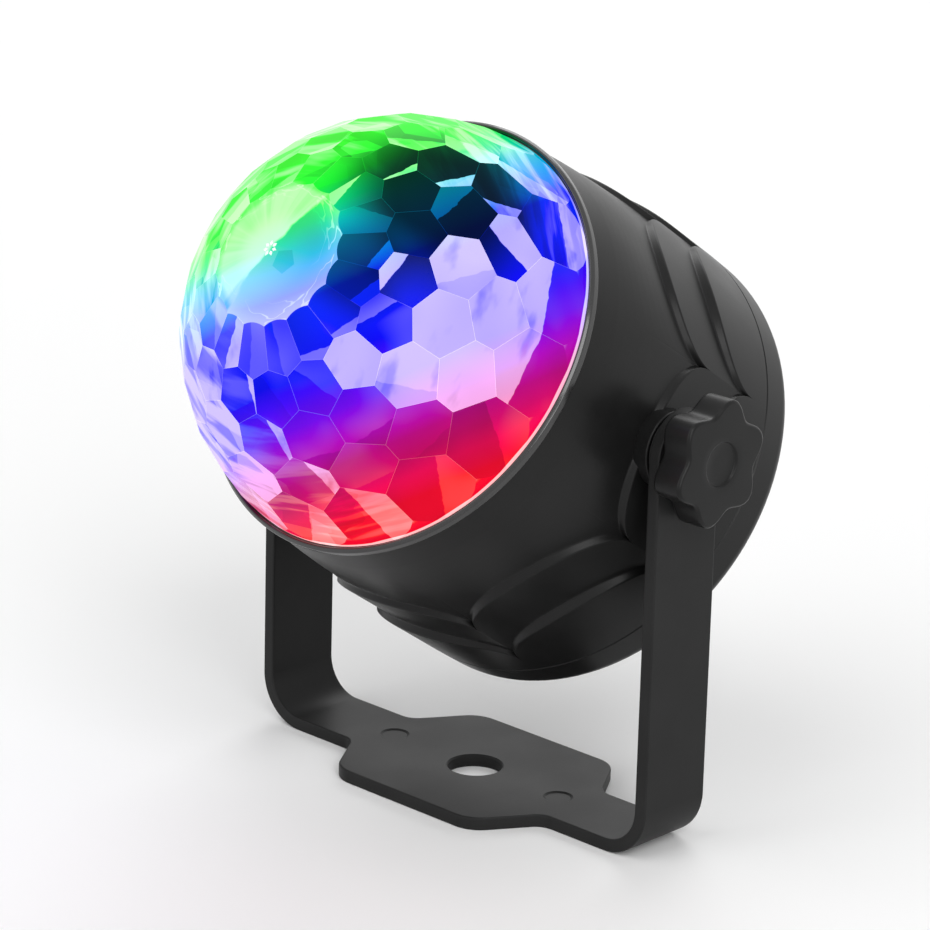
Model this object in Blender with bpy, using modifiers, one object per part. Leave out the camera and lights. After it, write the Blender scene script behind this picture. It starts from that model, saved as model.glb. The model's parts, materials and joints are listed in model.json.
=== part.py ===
"""LED disco ball light on a U-shaped bracket.

Metres, +Z up. The origin is at the bottom middle of the whole light, the light looks towards -Y, and the
tilt axis runs along X. The bracket is placed by the middle of its foot, which stands behind the origin. The
pieces of the head are placed in a frame of their own: its origin is on the tilt axis and its Z axis points
out of the dome.
"""

import math

import bmesh
import bpy
from mathutils import Matrix, Vector

MM = 0.001

# Bracket: one bent strip with a wide foot
BRACKET_THICKNESS = 2.5 * MM
ARM_CLEARANCE = 1.3 * MM
ARM_DEPTH = 16.0 * MM
BEND_RADIUS = 9.6 * MM
TILT_CLEARANCE = 9.45 * MM
FOOT_DEPTH = 39.2 * MM
FOOT_LENGTH = 34.0 * MM
FOOT_ROOT_LENGTH = 49.0 * MM
FOOT_CORNER_RADIUS = 6.0 * MM
FOOT_ROOT_RADIUS = 4.0 * MM
FIXING_HOLE_RADIUS = 5.05 * MM
MOULDING_MARK_RADIUS = 2.8 * MM
MOULDING_MARK_DEPTH = 0.25 * MM
MOULDING_MARK_OFFSET = 21.0 * MM

# Head: places along its axis, measured from the tilt axis
HEAD_TILT = math.radians(34.0)
BEZEL_FRONT = 28.5 * MM
HEAD_LENGTH = 61.9 * MM
CAP_LENGTH = 9.0 * MM

# Dome
DOME_RADIUS = 39.9 * MM
DOME_CENTRE_DROP = 3.05 * MM
DOME_RIM_DROP = 0.7 * MM
DOME_WALL = 2.4 * MM
DOME_BOSS_RADIUS = 4.2 * MM
DOME_BOSS_LENGTH = 6.5 * MM
DOME_BORE_LENGTH = 5.5 * MM
FACETS_PER_RING = 18
FACET_RING_ANGLES = [math.radians(angle) for angle in (26.2, 37.7, 49.7, 62.2, 74.8)]
FACET_PHASE = math.radians(-2.0)
FACET_RIM_ANGLE = math.radians(86.6)
FACET_BITE = math.radians(0.25)

# Bezel
BEZEL_OVERHANG = 1.25 * MM
BEZEL_HEIGHT = 1.8 * MM
BEZEL_LIP_DEPTH = 1.1 * MM
BEZEL_CHAMFER = 0.5 * MM
BEZEL_LIP_CHAMFER = 0.3 * MM
SPIGOT_WALL = 1.5 * MM
SPIGOT_LENGTH = 4.9 * MM

# Housing. The shares are of the distance from the bezel's front to the seam
COLLAR_INSET = 0.85 * MM
COLLAR_GROWTH = 2.1 * MM
COLLAR_SHARE = 0.567108
TIER_1_HEIGHT = 3.5 * MM
TIER_2_HEIGHT = 0.7 * MM
TIER_1_SHARE = 0.429112
TIER_2_SHARE = 0.684310
ARCH_SHARE = 0.204159
RISER_RUN = 1.0 * MM
CREASE_DEPTH = 0.7 * MM
CREASE_START = 8.0 * MM
ARCHES = 8
STEPS_PER_ARCH = 8
HOUSING_WALL = 4.5 * MM
REFLECTOR_SEAT_WIDTH = 1.5 * MM
BOARD_LEDGE_WIDTH = 5.2 * MM
BOARD_LEDGE_THICKNESS = 2.8 * MM
CAP_SOCKET_WALL = 2.5 * MM
CAP_SOCKET_DEPTH = 4.0 * MM

# Pivot, the same on both sides
BOSS_RADIUS = 7.0 * MM
BOSS_HEIGHT = 0.5 * MM
BOSS_LENGTH = 9.0 * MM
INSERT_RADIUS = 3.6 * MM
INSERT_LENGTH = 7.5 * MM
STUD_RADIUS = 2.42 * MM
STUD_RUNNING_GAP = 0.08 * MM
STUD_ENGAGEMENT = 6.5 * MM
ARM_HOLE_RADIUS = 2.9 * MM
PIVOT_WASHER_RADIUS = 6.8 * MM
KNOB_WASHER_RADIUS = 6.0 * MM
KNOB_WASHER_THICKNESS = 0.65 * MM

# Clamp knob
KNOB_THICKNESS = 6.1 * MM
KNOB_RADIUS = 10.3 * MM
KNOB_LOBE_HEIGHT = 1.15 * MM
KNOB_LOBES = 6
KNOB_STEPS_PER_LOBE = 8
KNOB_PHASE = math.radians(45.0)
KNOB_CHAMFER = 0.7 * MM
KNOB_DISH_RADIUS = 4.0 * MM
KNOB_DISH_DEPTH = 0.5 * MM
KNOB_BORE_DEPTH = 4.4 * MM

# Gear train. The shares are of the housing's inner radius
GEAR_MODULE_SHARE = 0.0125
PRESSURE_ANGLE = math.radians(25.0)
BACKLASH = 0.12 * MM
PINION_TEETH = 14
IDLER_TEETH = 35
OUTPUT_TEETH = 42
IDLER_DIRECTION = math.radians(90.0)
MOTOR_DIRECTION = math.radians(-40.0)
GEAR_FLOOR = 1.0 * MM
GEAR_CASE_WALL = 1.5 * MM
GEAR_CASE_DEPTH = 11.0 * MM
GEAR_CASE_RADIUS_SHARE = 0.4575
GEAR_CASE_CENTRE_SHARES = Vector((0.05, 0.1625, 0.0))
GEAR_EAR_RADIUS = 3.2 * MM
GEAR_EAR_SHARE = 0.545
GEAR_HUB_RADIUS = 2.8 * MM
GEAR_END_PLAY = 0.5 * MM
LARGE_GEAR_LEVEL = 2.0 * MM
LARGE_GEAR_WIDTH = 2.5 * MM
OUTPUT_GEAR_LEVEL = 6.0 * MM
OUTPUT_GEAR_WIDTH = 3.0 * MM
MOTOR_PINION_OVERHANG = 0.4 * MM
OUTPUT_SHAFT_RADIUS = 1.5 * MM
OUTPUT_SHAFT_END = 30.0 * MM
IDLER_PIN_RADIUS = 1.0 * MM
MOTOR_SHAFT_RADIUS = 1.0 * MM
MOTOR_SHAFT_DEPTH = 3.0 * MM
MOTOR_RADIUS_SHARE = 0.255
MOTOR_CLEARANCE = 5.5 * MM

# Spindle between the output shaft and the dome
SPINDLE_START = 17.5 * MM
SPINDLE_ROOT_RADIUS = 3.6 * MM
SPINDLE_NECK_RADIUS = 3.1 * MM
SPINDLE_TIP_RADIUS = 2.1 * MM
SPINDLE_SOCKET_DEPTH = 12.9 * MM

# Light engine. The shares are of the housing's inner radius
LED_BOARD_THICKNESS = 1.6 * MM
LED_BOARD_HOLE_RADIUS = 3.2 * MM
LED_CIRCLE_SHARE = 0.4
LED_ANGLES = {"red": math.radians(-30.0), "green": math.radians(90.0), "blue": math.radians(210.0)}
LED_BASE_SHARE = 0.09
LED_BASE_HEIGHT = 1.2 * MM
LED_DOME_SHARE = 0.06
LENS_FOOT_SHARE = 0.13
LENS_MOUTH_SHARE = 0.16
LENS_HEIGHT = 8.5 * MM
LENS_WALL = 0.8 * MM
LENS_CAVITY_HEIGHT = 5.0 * MM
REFLECTOR_WALL = 1.2 * MM
REFLECTOR_FLOOR_DROP = 1.8 * MM
REFLECTOR_FLOOR_SHARE = 0.625
REFLECTOR_HUB_RADIUS = 4.6 * MM
BOARD_SCREW_INSET = 2.5 * MM
BOARD_SCREW_ANGLES = [math.radians(angle) for angle in (30.0, 150.0, 270.0)]

# Rear cap and what it carries. The shares are of the housing's inner radius
CAP_EDGE_RADIUS = 3.2 * MM
CAP_WALL = 2.2 * MM
CAP_STEP = 0.1 * MM
CAP_SPIGOT_WALL = 1.4 * MM
CAP_BOSS_RADIUS = 3.2 * MM
CAP_SCREW_ANGLES = [math.radians(angle) for angle in (90.0, 210.0, 330.0)]
CAP_POST_RADIUS = 3.7 * MM
CAP_POST_LENGTH = 12.0 * MM
VENT_SLOTS = 7
VENT_WIDTH = 1.8 * MM
VENT_PITCH_SHARE = 0.1125
VENT_LENGTH_SHARE = 0.5
VENT_CENTRE_SHARE = 0.1
GROMMET_DROP_SHARE = 0.675
GROMMET_HOLE_RADIUS = 4.4 * MM
GROMMET_FLANGE_RADIUS = 6.0 * MM
GROMMET_FLANGE_THICKNESS = 1.4 * MM
GROMMET_NOSE_RADIUS = 4.9 * MM
GROMMET_NOSE_LENGTH = 5.0 * MM
GROMMET_BORE_RADIUS = 2.7 * MM
MAIN_BOARD_LENGTH_SHARE = 1.25
MAIN_BOARD_WIDTH_SHARE = 0.8
MAIN_BOARD_THICKNESS = 1.6 * MM
MAIN_BOARD_RISE_SHARE = 0.25
BOARD_STANDOFF = 3.3 * MM
STANDOFF_RADIUS = 2.6 * MM
STANDOFF_SHARE = 0.5375
TRANSFORMER_LENGTH_SHARE = 0.375
TRANSFORMER_WIDTH_SHARE = 0.325
TRANSFORMER_HEIGHT = 11.0 * MM
TRANSFORMER_PLACE_SHARES = Vector((-0.275, 0.2, 0.0))
CAPACITOR_RADIUS_SHARE = 0.1
CAPACITOR_HEIGHT = 12.0 * MM
CAPACITOR_PLACE_SHARES = Vector((-0.35, 0.515, 0.0))
MICROPHONE_RADIUS_SHARE = 0.075
MICROPHONE_PLACE_SHARES = Vector((0.25, 0.5, 0.0))
MICROPHONE_HOLE_RADIUS = 1.0 * MM
RECEIVER_WIDTH_SHARE = 0.125
RECEIVER_PLACE_SHARES = Vector((-0.125, 0.5, 0.0))
RECEIVER_WINDOW_RADIUS = 2.0 * MM

# Screws
SCREW_SHANK_RADIUS = 1.1 * MM
SCREW_HOLE_RADIUS = 1.35 * MM
SCREW_HEAD_RADIUS = 2.2 * MM
SCREW_HEAD_HEIGHT = 1.5 * MM
CAP_SCREW_LENGTH = 16.0 * MM
GEAR_SCREW_LENGTH = 8.0 * MM
LED_SCREW_LENGTH = 3.6 * MM
MAIN_SCREW_LENGTH = 3.6 * MM
GEAR_EAR_LENGTH = 6.0 * MM

# Fits shared by all pieces
SEAT_GAP = 0.3 * MM
PRESS_GAP = 0.1 * MM
RUNNING_GAP = 0.06 * MM
CUT_OVERRUN = 1.0 * MM
MERGE_DISTANCE = 0.001 * MM
LARGE_STEPS = 60
MEDIUM_STEPS = 36
SMALL_STEPS = 20
SCREW_STEPS = 12
ARC_STEPS = 5
EDGE_STEPS = 3
GEAR_FLANK_STEPS = 2
DOME_BAND_STEPS = 60
FLAT_ANGLE = math.radians(0.05)

# Places that follow from the sizes above
BEZEL_RADIUS = DOME_RADIUS + BEZEL_OVERHANG
COLLAR_RADIUS = BEZEL_RADIUS - COLLAR_INSET
TIER_1_RADIUS = COLLAR_RADIUS + TIER_1_HEIGHT
TIER_2_RADIUS = TIER_1_RADIUS + TIER_2_HEIGHT
HOUSING_WALL_RADIUS = TIER_2_RADIUS - HOUSING_WALL
CAP_SOCKET_RADIUS = TIER_2_RADIUS - CAP_SOCKET_WALL
CAP_BODY_RADIUS = TIER_2_RADIUS - CAP_STEP
BOSS_END = TIER_2_RADIUS + BOSS_HEIGHT
BOSS_ROOT = BOSS_END - BOSS_LENGTH
SEAM_DISTANCE = HEAD_LENGTH - CAP_LENGTH
COLLAR_LENGTH = SEAM_DISTANCE * COLLAR_SHARE
TIER_1_START = SEAM_DISTANCE * TIER_1_SHARE
TIER_2_START = SEAM_DISTANCE * TIER_2_SHARE
ARCH_HEIGHT = SEAM_DISTANCE * ARCH_SHARE
GEAR_MODULE = HOUSING_WALL_RADIUS * GEAR_MODULE_SHARE
GEAR_CASE_RADIUS = HOUSING_WALL_RADIUS * GEAR_CASE_RADIUS_SHARE
GEAR_CASE_CENTRE = HOUSING_WALL_RADIUS * GEAR_CASE_CENTRE_SHARES
GEAR_EAR_OFFSET = HOUSING_WALL_RADIUS * GEAR_EAR_SHARE
MOTOR_RADIUS = HOUSING_WALL_RADIUS * MOTOR_RADIUS_SHARE
LED_CIRCLE_RADIUS = HOUSING_WALL_RADIUS * LED_CIRCLE_SHARE
LED_BASE_RADIUS = HOUSING_WALL_RADIUS * LED_BASE_SHARE
LED_DOME_RADIUS = HOUSING_WALL_RADIUS * LED_DOME_SHARE
LENS_FOOT_RADIUS = HOUSING_WALL_RADIUS * LENS_FOOT_SHARE
LENS_MOUTH_RADIUS = HOUSING_WALL_RADIUS * LENS_MOUTH_SHARE
REFLECTOR_FLOOR_RADIUS = HOUSING_WALL_RADIUS * REFLECTOR_FLOOR_SHARE
BEZEL_BACK = BEZEL_FRONT - BEZEL_HEIGHT
LIP_FLOOR = BEZEL_FRONT - BEZEL_LIP_DEPTH
HOUSING_FRONT = BEZEL_BACK - SEAT_GAP
DOME_CENTRE = BEZEL_FRONT - DOME_CENTRE_DROP
DOME_RIM = BEZEL_FRONT - DOME_RIM_DROP
DOME_INNER_RADIUS = DOME_RADIUS - DOME_WALL
DOME_RIM_RADIUS = math.sqrt(DOME_RADIUS**2 - (DOME_RIM - DOME_CENTRE) ** 2)
DOME_BOSS_END = DOME_CENTRE + DOME_INNER_RADIUS - DOME_BOSS_LENGTH
SEAM = BEZEL_FRONT - SEAM_DISTANCE
CAP_FRONT = SEAM - SEAT_GAP
CAP_BACK = BEZEL_FRONT - HEAD_LENGTH
CAP_FLOOR = CAP_BACK + CAP_WALL
GEAR_CASE_TOP = GEAR_FLOOR + GEAR_CASE_DEPTH
GEAR_COVER_BACK = GEAR_CASE_TOP + SEAT_GAP
GEAR_COVER_FRONT = GEAR_COVER_BACK + GEAR_CASE_WALL
LED_BOARD_BACK = GEAR_COVER_FRONT + SEAT_GAP
LED_BOARD_FRONT = LED_BOARD_BACK + LED_BOARD_THICKNESS
LED_SEAT = LED_BOARD_FRONT + SEAT_GAP
BOARD_LEDGE_FRONT = LED_BOARD_BACK - SEAT_GAP
BOARD_LEDGE_BACK = BOARD_LEDGE_FRONT - BOARD_LEDGE_THICKNESS
SPIGOT_END = BEZEL_BACK - SPIGOT_LENGTH
REFLECTOR_FRONT = SPIGOT_END - SEAT_GAP
REFLECTOR_SEAT = REFLECTOR_FRONT - REFLECTOR_WALL - SEAT_GAP
BEZEL_LIP_RADIUS = DOME_RIM_RADIUS + SEAT_GAP
HOUSING_MOUTH_RADIUS = COLLAR_RADIUS - SPIGOT_WALL
SPIGOT_RADIUS = HOUSING_MOUTH_RADIUS - SEAT_GAP
REFLECTOR_SEAT_RADIUS = HOUSING_MOUTH_RADIUS - REFLECTOR_SEAT_WIDTH
LED_BOARD_RADIUS = REFLECTOR_SEAT_RADIUS - SEAT_GAP
BOARD_LEDGE_RADIUS = REFLECTOR_SEAT_RADIUS - BOARD_LEDGE_WIDTH
CAP_SPIGOT_RADIUS = CAP_SOCKET_RADIUS - SEAT_GAP
CAP_INNER_RADIUS = CAP_SPIGOT_RADIUS - CAP_SPIGOT_WALL
CAP_SPIGOT_END = SEAM + CAP_SOCKET_DEPTH - SEAT_GAP
CAP_POST_BACK = CAP_SPIGOT_END + SEAT_GAP
CAP_SCREW_CIRCLE = CAP_INNER_RADIUS - CAP_POST_RADIUS
BOARD_SCREW_CIRCLE = BOARD_LEDGE_RADIUS + BOARD_SCREW_INSET
VENT_PITCH = HOUSING_WALL_RADIUS * VENT_PITCH_SHARE
VENT_LENGTH = HOUSING_WALL_RADIUS * VENT_LENGTH_SHARE
VENT_CENTRE_DROP = HOUSING_WALL_RADIUS * VENT_CENTRE_SHARE
GROMMET_DROP = HOUSING_WALL_RADIUS * GROMMET_DROP_SHARE
MAIN_BOARD_LENGTH = HOUSING_WALL_RADIUS * MAIN_BOARD_LENGTH_SHARE
MAIN_BOARD_WIDTH = HOUSING_WALL_RADIUS * MAIN_BOARD_WIDTH_SHARE
MAIN_BOARD_SIZE = Vector((MAIN_BOARD_LENGTH, MAIN_BOARD_WIDTH, MAIN_BOARD_THICKNESS))
MAIN_BOARD_RISE = HOUSING_WALL_RADIUS * MAIN_BOARD_RISE_SHARE
MAIN_BOARD_BACK = CAP_FLOOR + BOARD_STANDOFF + SEAT_GAP
MAIN_BOARD_FRONT = MAIN_BOARD_BACK + MAIN_BOARD_THICKNESS
STANDOFF_OFFSET = HOUSING_WALL_RADIUS * STANDOFF_SHARE
TRANSFORMER_LENGTH = HOUSING_WALL_RADIUS * TRANSFORMER_LENGTH_SHARE
TRANSFORMER_WIDTH = HOUSING_WALL_RADIUS * TRANSFORMER_WIDTH_SHARE
TRANSFORMER_SIZE = Vector((TRANSFORMER_LENGTH, TRANSFORMER_WIDTH, TRANSFORMER_HEIGHT))
TRANSFORMER_PLACE = HOUSING_WALL_RADIUS * TRANSFORMER_PLACE_SHARES
CAPACITOR_RADIUS = HOUSING_WALL_RADIUS * CAPACITOR_RADIUS_SHARE
CAPACITOR_PLACE = HOUSING_WALL_RADIUS * CAPACITOR_PLACE_SHARES
MICROPHONE_RADIUS = HOUSING_WALL_RADIUS * MICROPHONE_RADIUS_SHARE
MICROPHONE_PLACE = HOUSING_WALL_RADIUS * MICROPHONE_PLACE_SHARES
RECEIVER_WIDTH = HOUSING_WALL_RADIUS * RECEIVER_WIDTH_SHARE
RECEIVER_HEIGHT = BOARD_STANDOFF - 2 * SEAT_GAP
RECEIVER_SIZE = Vector((RECEIVER_WIDTH, RECEIVER_WIDTH, RECEIVER_HEIGHT))
RECEIVER_PLACE = HOUSING_WALL_RADIUS * RECEIVER_PLACE_SHARES
ARM_INNER = BOSS_END + ARM_CLEARANCE
ARM_OUTER = ARM_INNER + BRACKET_THICKNESS
TILT_AXIS_HEIGHT = DOME_CENTRE + DOME_RADIUS + TILT_CLEARANCE
KNOB_WASHER_INNER = ARM_OUTER + SEAT_GAP
KNOB_BACK = KNOB_WASHER_INNER + KNOB_WASHER_THICKNESS + SEAT_GAP
STUD_BORE_RADIUS = STUD_RADIUS + STUD_RUNNING_GAP
IDLER_DISTANCE = GEAR_MODULE * (OUTPUT_TEETH + PINION_TEETH) / 2
MOTOR_DISTANCE = GEAR_MODULE * (IDLER_TEETH + PINION_TEETH) / 2
IDLER_PLACE = IDLER_DISTANCE * Vector((math.cos(IDLER_DIRECTION), math.sin(IDLER_DIRECTION), 0.0))
MOTOR_OFFSET = MOTOR_DISTANCE * Vector((math.cos(MOTOR_DIRECTION), math.sin(MOTOR_DIRECTION), 0.0))
MOTOR_PLACE = IDLER_PLACE + MOTOR_OFFSET
GEAR_CASE_BACK = GEAR_FLOOR - GEAR_CASE_WALL
MOTOR_FACE = GEAR_CASE_BACK - SEAT_GAP
MOTOR_LENGTH = MOTOR_FACE - MAIN_BOARD_FRONT - MOTOR_CLEARANCE
FRONT_REACH = DOME_CENTRE * math.cos(HEAD_TILT) + DOME_RADIUS
BACK_REACH = (
    (CAP_BODY_RADIUS - CAP_EDGE_RADIUS) * math.sin(HEAD_TILT)
    - (CAP_BACK + CAP_EDGE_RADIUS) * math.cos(HEAD_TILT)
    + CAP_EDGE_RADIUS
)
FOOT_SETBACK = (FRONT_REACH - BACK_REACH) / 2


def clear_scene():
    """Remove the objects and collections that the scene starts with."""
    for obj in list(bpy.data.objects):
        bpy.data.objects.remove(obj, do_unlink=True)
    for collection in list(bpy.data.collections):
        bpy.data.collections.remove(collection)


def new_collection(name):
    collection = bpy.data.collections.new(name)
    bpy.context.scene.collection.children.link(collection)
    return collection


clear_scene()
PARTS = new_collection("led_disco_ball_light")
CUTTERS = new_collection("cutters")


def make_material(name, colour, roughness, metallic=0.0, transmission=0.0):
    material = bpy.data.materials.new(name)
    material.use_nodes = True
    shader = material.node_tree.nodes["Principled BSDF"]
    shader.inputs["Base Color"].default_value = (*colour, 1.0)
    shader.inputs["Roughness"].default_value = roughness
    shader.inputs["Metallic"].default_value = metallic
    shader.inputs["Transmission Weight"].default_value = transmission
    material.diffuse_color = (*colour, 1.0)
    return material


BLACK_SATIN = make_material("black_satin_plastic", (0.022, 0.022, 0.023), 0.42)
BLACK_GLOSS = make_material("black_gloss_plastic", (0.03, 0.03, 0.031), 0.25)
CLEAR = make_material("clear_plastic", (0.93, 0.96, 1.0), 0.03, transmission=1.0)
WHITE_PLASTIC = make_material("white_plastic", (0.85, 0.86, 0.87), 0.4)
NYLON = make_material("natural_nylon", (0.8, 0.77, 0.68), 0.5)
STEEL = make_material("bright_steel", (0.62, 0.62, 0.63), 0.3, metallic=1.0)
BRASS = make_material("brass", (0.72, 0.55, 0.25), 0.35, metallic=1.0)
RUBBER = make_material("black_rubber", (0.018, 0.018, 0.018), 0.75)
BOARD_WHITE = make_material("white_board_coating", (0.82, 0.83, 0.8), 0.45)
BOARD_GREEN = make_material("green_board_coating", (0.03, 0.2, 0.08), 0.4)
COIL_CASE = make_material("transformer_case", (0.75, 0.6, 0.12), 0.5)
SLEEVE = make_material("capacitor_sleeve", (0.05, 0.06, 0.16), 0.35)
LED_RED = make_material("led_red", (0.9, 0.05, 0.04), 0.25)
LED_GREEN = make_material("led_green", (0.05, 0.85, 0.12), 0.25)
LED_BLUE = make_material("led_blue", (0.05, 0.1, 0.95), 0.25)


def new_empty(name, location=(0.0, 0.0, 0.0), rotation=(0.0, 0.0, 0.0), parent=None):
    empty = bpy.data.objects.new(name, None)
    empty.location = location
    empty.rotation_euler = rotation
    empty.parent = parent
    empty.empty_display_size = BOSS_RADIUS
    PARTS.objects.link(empty)
    return empty


FOOT = new_empty("foot_middle", (0.0, FOOT_SETBACK, 0.0))
TILT_AXIS = (0.0, 0.0, TILT_AXIS_HEIGHT)
HEAD = new_empty("head_tilt_axis", TILT_AXIS, (math.pi / 2 - HEAD_TILT, 0.0, 0.0), FOOT)
PIVOTS = {
    "right": new_empty("pivot_right", TILT_AXIS, (0.0, math.pi / 2, 0.0), FOOT),
    "left": new_empty("pivot_left", TILT_AXIS, (0.0, -math.pi / 2, 0.0), FOOT),
}


def add_object(name, mesh, material, parent=None, location=(0.0, 0.0, 0.0)):
    """Place a mesh as a named part, or as a hidden cutter when it has no material."""
    obj = bpy.data.objects.new(name, mesh)
    obj.parent = parent
    obj.location = location
    if material is None:
        obj.hide_render = True
        obj.display_type = "WIRE"
        CUTTERS.objects.link(obj)
    else:
        mesh.materials.append(material)
        mesh.shade_smooth()
        mesh.set_sharp_from_angle(angle=math.radians(35.0))
        PARTS.objects.link(obj)
    return obj


def turned(name, profile, steps, material, parent=None, location=(0.0, 0.0, 0.0)):
    """A turned piece: its (radius, height) profile runs down its outer side, and closes if off the axis."""
    on_axis = profile[0][0] == 0.0
    mesh = bpy.data.meshes.new(name)
    points = [(radius, 0.0, height) for radius, height in profile]
    edges = [(index, index + 1) for index in range(len(points) - 1)]
    if not on_axis:
        edges.append((len(points) - 1, 0))
    mesh.from_pydata(points, edges, [])
    obj = add_object(name, mesh, material, parent, location)
    screw = obj.modifiers.new("turn", "SCREW")
    screw.steps = steps
    screw.render_steps = steps
    screw.use_merge_vertices = True
    screw.merge_threshold = MERGE_DISTANCE
    screw.use_smooth_shade = False
    return obj


def disc_profile(radius, bottom, top, chamfer=0.0):
    """The profile of a solid disc or rod, with its top edge chamfered if asked."""
    rim = [(radius - chamfer, top), (radius, top - chamfer)] if chamfer else [(radius, top)]
    return [(0.0, top), *rim, (radius, bottom), (0.0, bottom)]


def ring_profile(outer, inner, bottom, top):
    return [(outer, top), (outer, bottom), (inner, bottom), (inner, top)]


def rod(name, radius, bottom, top, steps, material, parent=None, location=(0.0, 0.0, 0.0)):
    """A cylinder from a primitive, standing along its own Z axis between two heights."""
    shape = bmesh.new()
    bmesh.ops.create_cone(
        shape, cap_ends=True, segments=steps, radius1=radius, radius2=radius, depth=top - bottom,
        matrix=Matrix.Translation((0.0, 0.0, (top + bottom) / 2)),
    )
    return from_bmesh(name, shape, material, parent, location)


def block(name, size, centre, material, parent=None):
    """A box from a primitive."""
    shape = bmesh.new()
    bmesh.ops.create_cube(shape, size=1.0, matrix=Matrix.Diagonal((*size, 1.0)))
    return from_bmesh(name, shape, material, parent, centre)


def from_bmesh(name, shape, material, parent, location):
    mesh = bpy.data.meshes.new(name)
    bmesh.ops.recalc_face_normals(shape, faces=shape.faces)
    shape.to_mesh(mesh)
    shape.free()
    return add_object(name, mesh, material, parent, location)


def outline_solid(name, outline, half_thickness, material, parent=None, location=(0.0, 0.0, 0.0),
                  axes=Matrix()):
    """A flat outline given thickness both ways: a filled 2D curve made a closed mesh, turned by `axes`."""
    curve = bpy.data.curves.new(name, "CURVE")
    curve.dimensions = "2D"
    curve.fill_mode = "BOTH"
    curve.extrude = half_thickness
    spline = curve.splines.new("POLY")
    spline.points.add(len(outline) - 1)
    for point, (x, y) in zip(spline.points, outline):
        point.co = (x, y, 0.0, 1.0)
    spline.use_cyclic_u = True
    source = bpy.data.objects.new(name + "_outline", curve)
    PARTS.objects.link(source)
    graph = bpy.context.evaluated_depsgraph_get()
    mesh = bpy.data.meshes.new_from_object(source.evaluated_get(graph))
    bpy.data.objects.remove(source, do_unlink=True)
    bpy.data.curves.remove(curve)
    mesh.materials.clear()
    shape = bmesh.new()
    shape.from_mesh(mesh)
    bpy.data.meshes.remove(mesh)
    bmesh.ops.remove_doubles(shape, verts=shape.verts, dist=MERGE_DISTANCE)
    bmesh.ops.transform(shape, matrix=axes, verts=shape.verts)
    return from_bmesh(name, shape, material, parent, location)


def boolean(obj, cutter, operation="DIFFERENCE"):
    modifier = obj.modifiers.new(cutter.name, "BOOLEAN")
    modifier.operation = operation
    modifier.object = cutter
    modifier.solver = "EXACT"


def rounded_outline(corners):
    """Points of a closed outline. Each corner is (x, y, radius), and a radius is drawn as a tangent arc."""
    points = []
    for index, (x, y, radius) in enumerate(corners):
        corner = Vector((x, y))
        if not radius:
            points.append(tuple(corner))
            continue
        before = (Vector(corners[index - 1][:2]) - corner).normalized()
        after = (Vector(corners[(index + 1) % len(corners)][:2]) - corner).normalized()
        half_angle = before.angle(after) / 2
        centre = corner + (before + after).normalized() * (radius / math.sin(half_angle))
        start = corner + before * (radius / math.tan(half_angle)) - centre
        end = corner + after * (radius / math.tan(half_angle)) - centre
        sweep = start.angle_signed(end)
        for step in range(ARC_STEPS + 1):
            points.append(tuple(centre + Matrix.Rotation(-sweep * step / ARC_STEPS, 2) @ start))
    return points


def around(radius, angle, height=0.0):
    return Vector((radius * math.cos(angle), radius * math.sin(angle), height))


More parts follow.
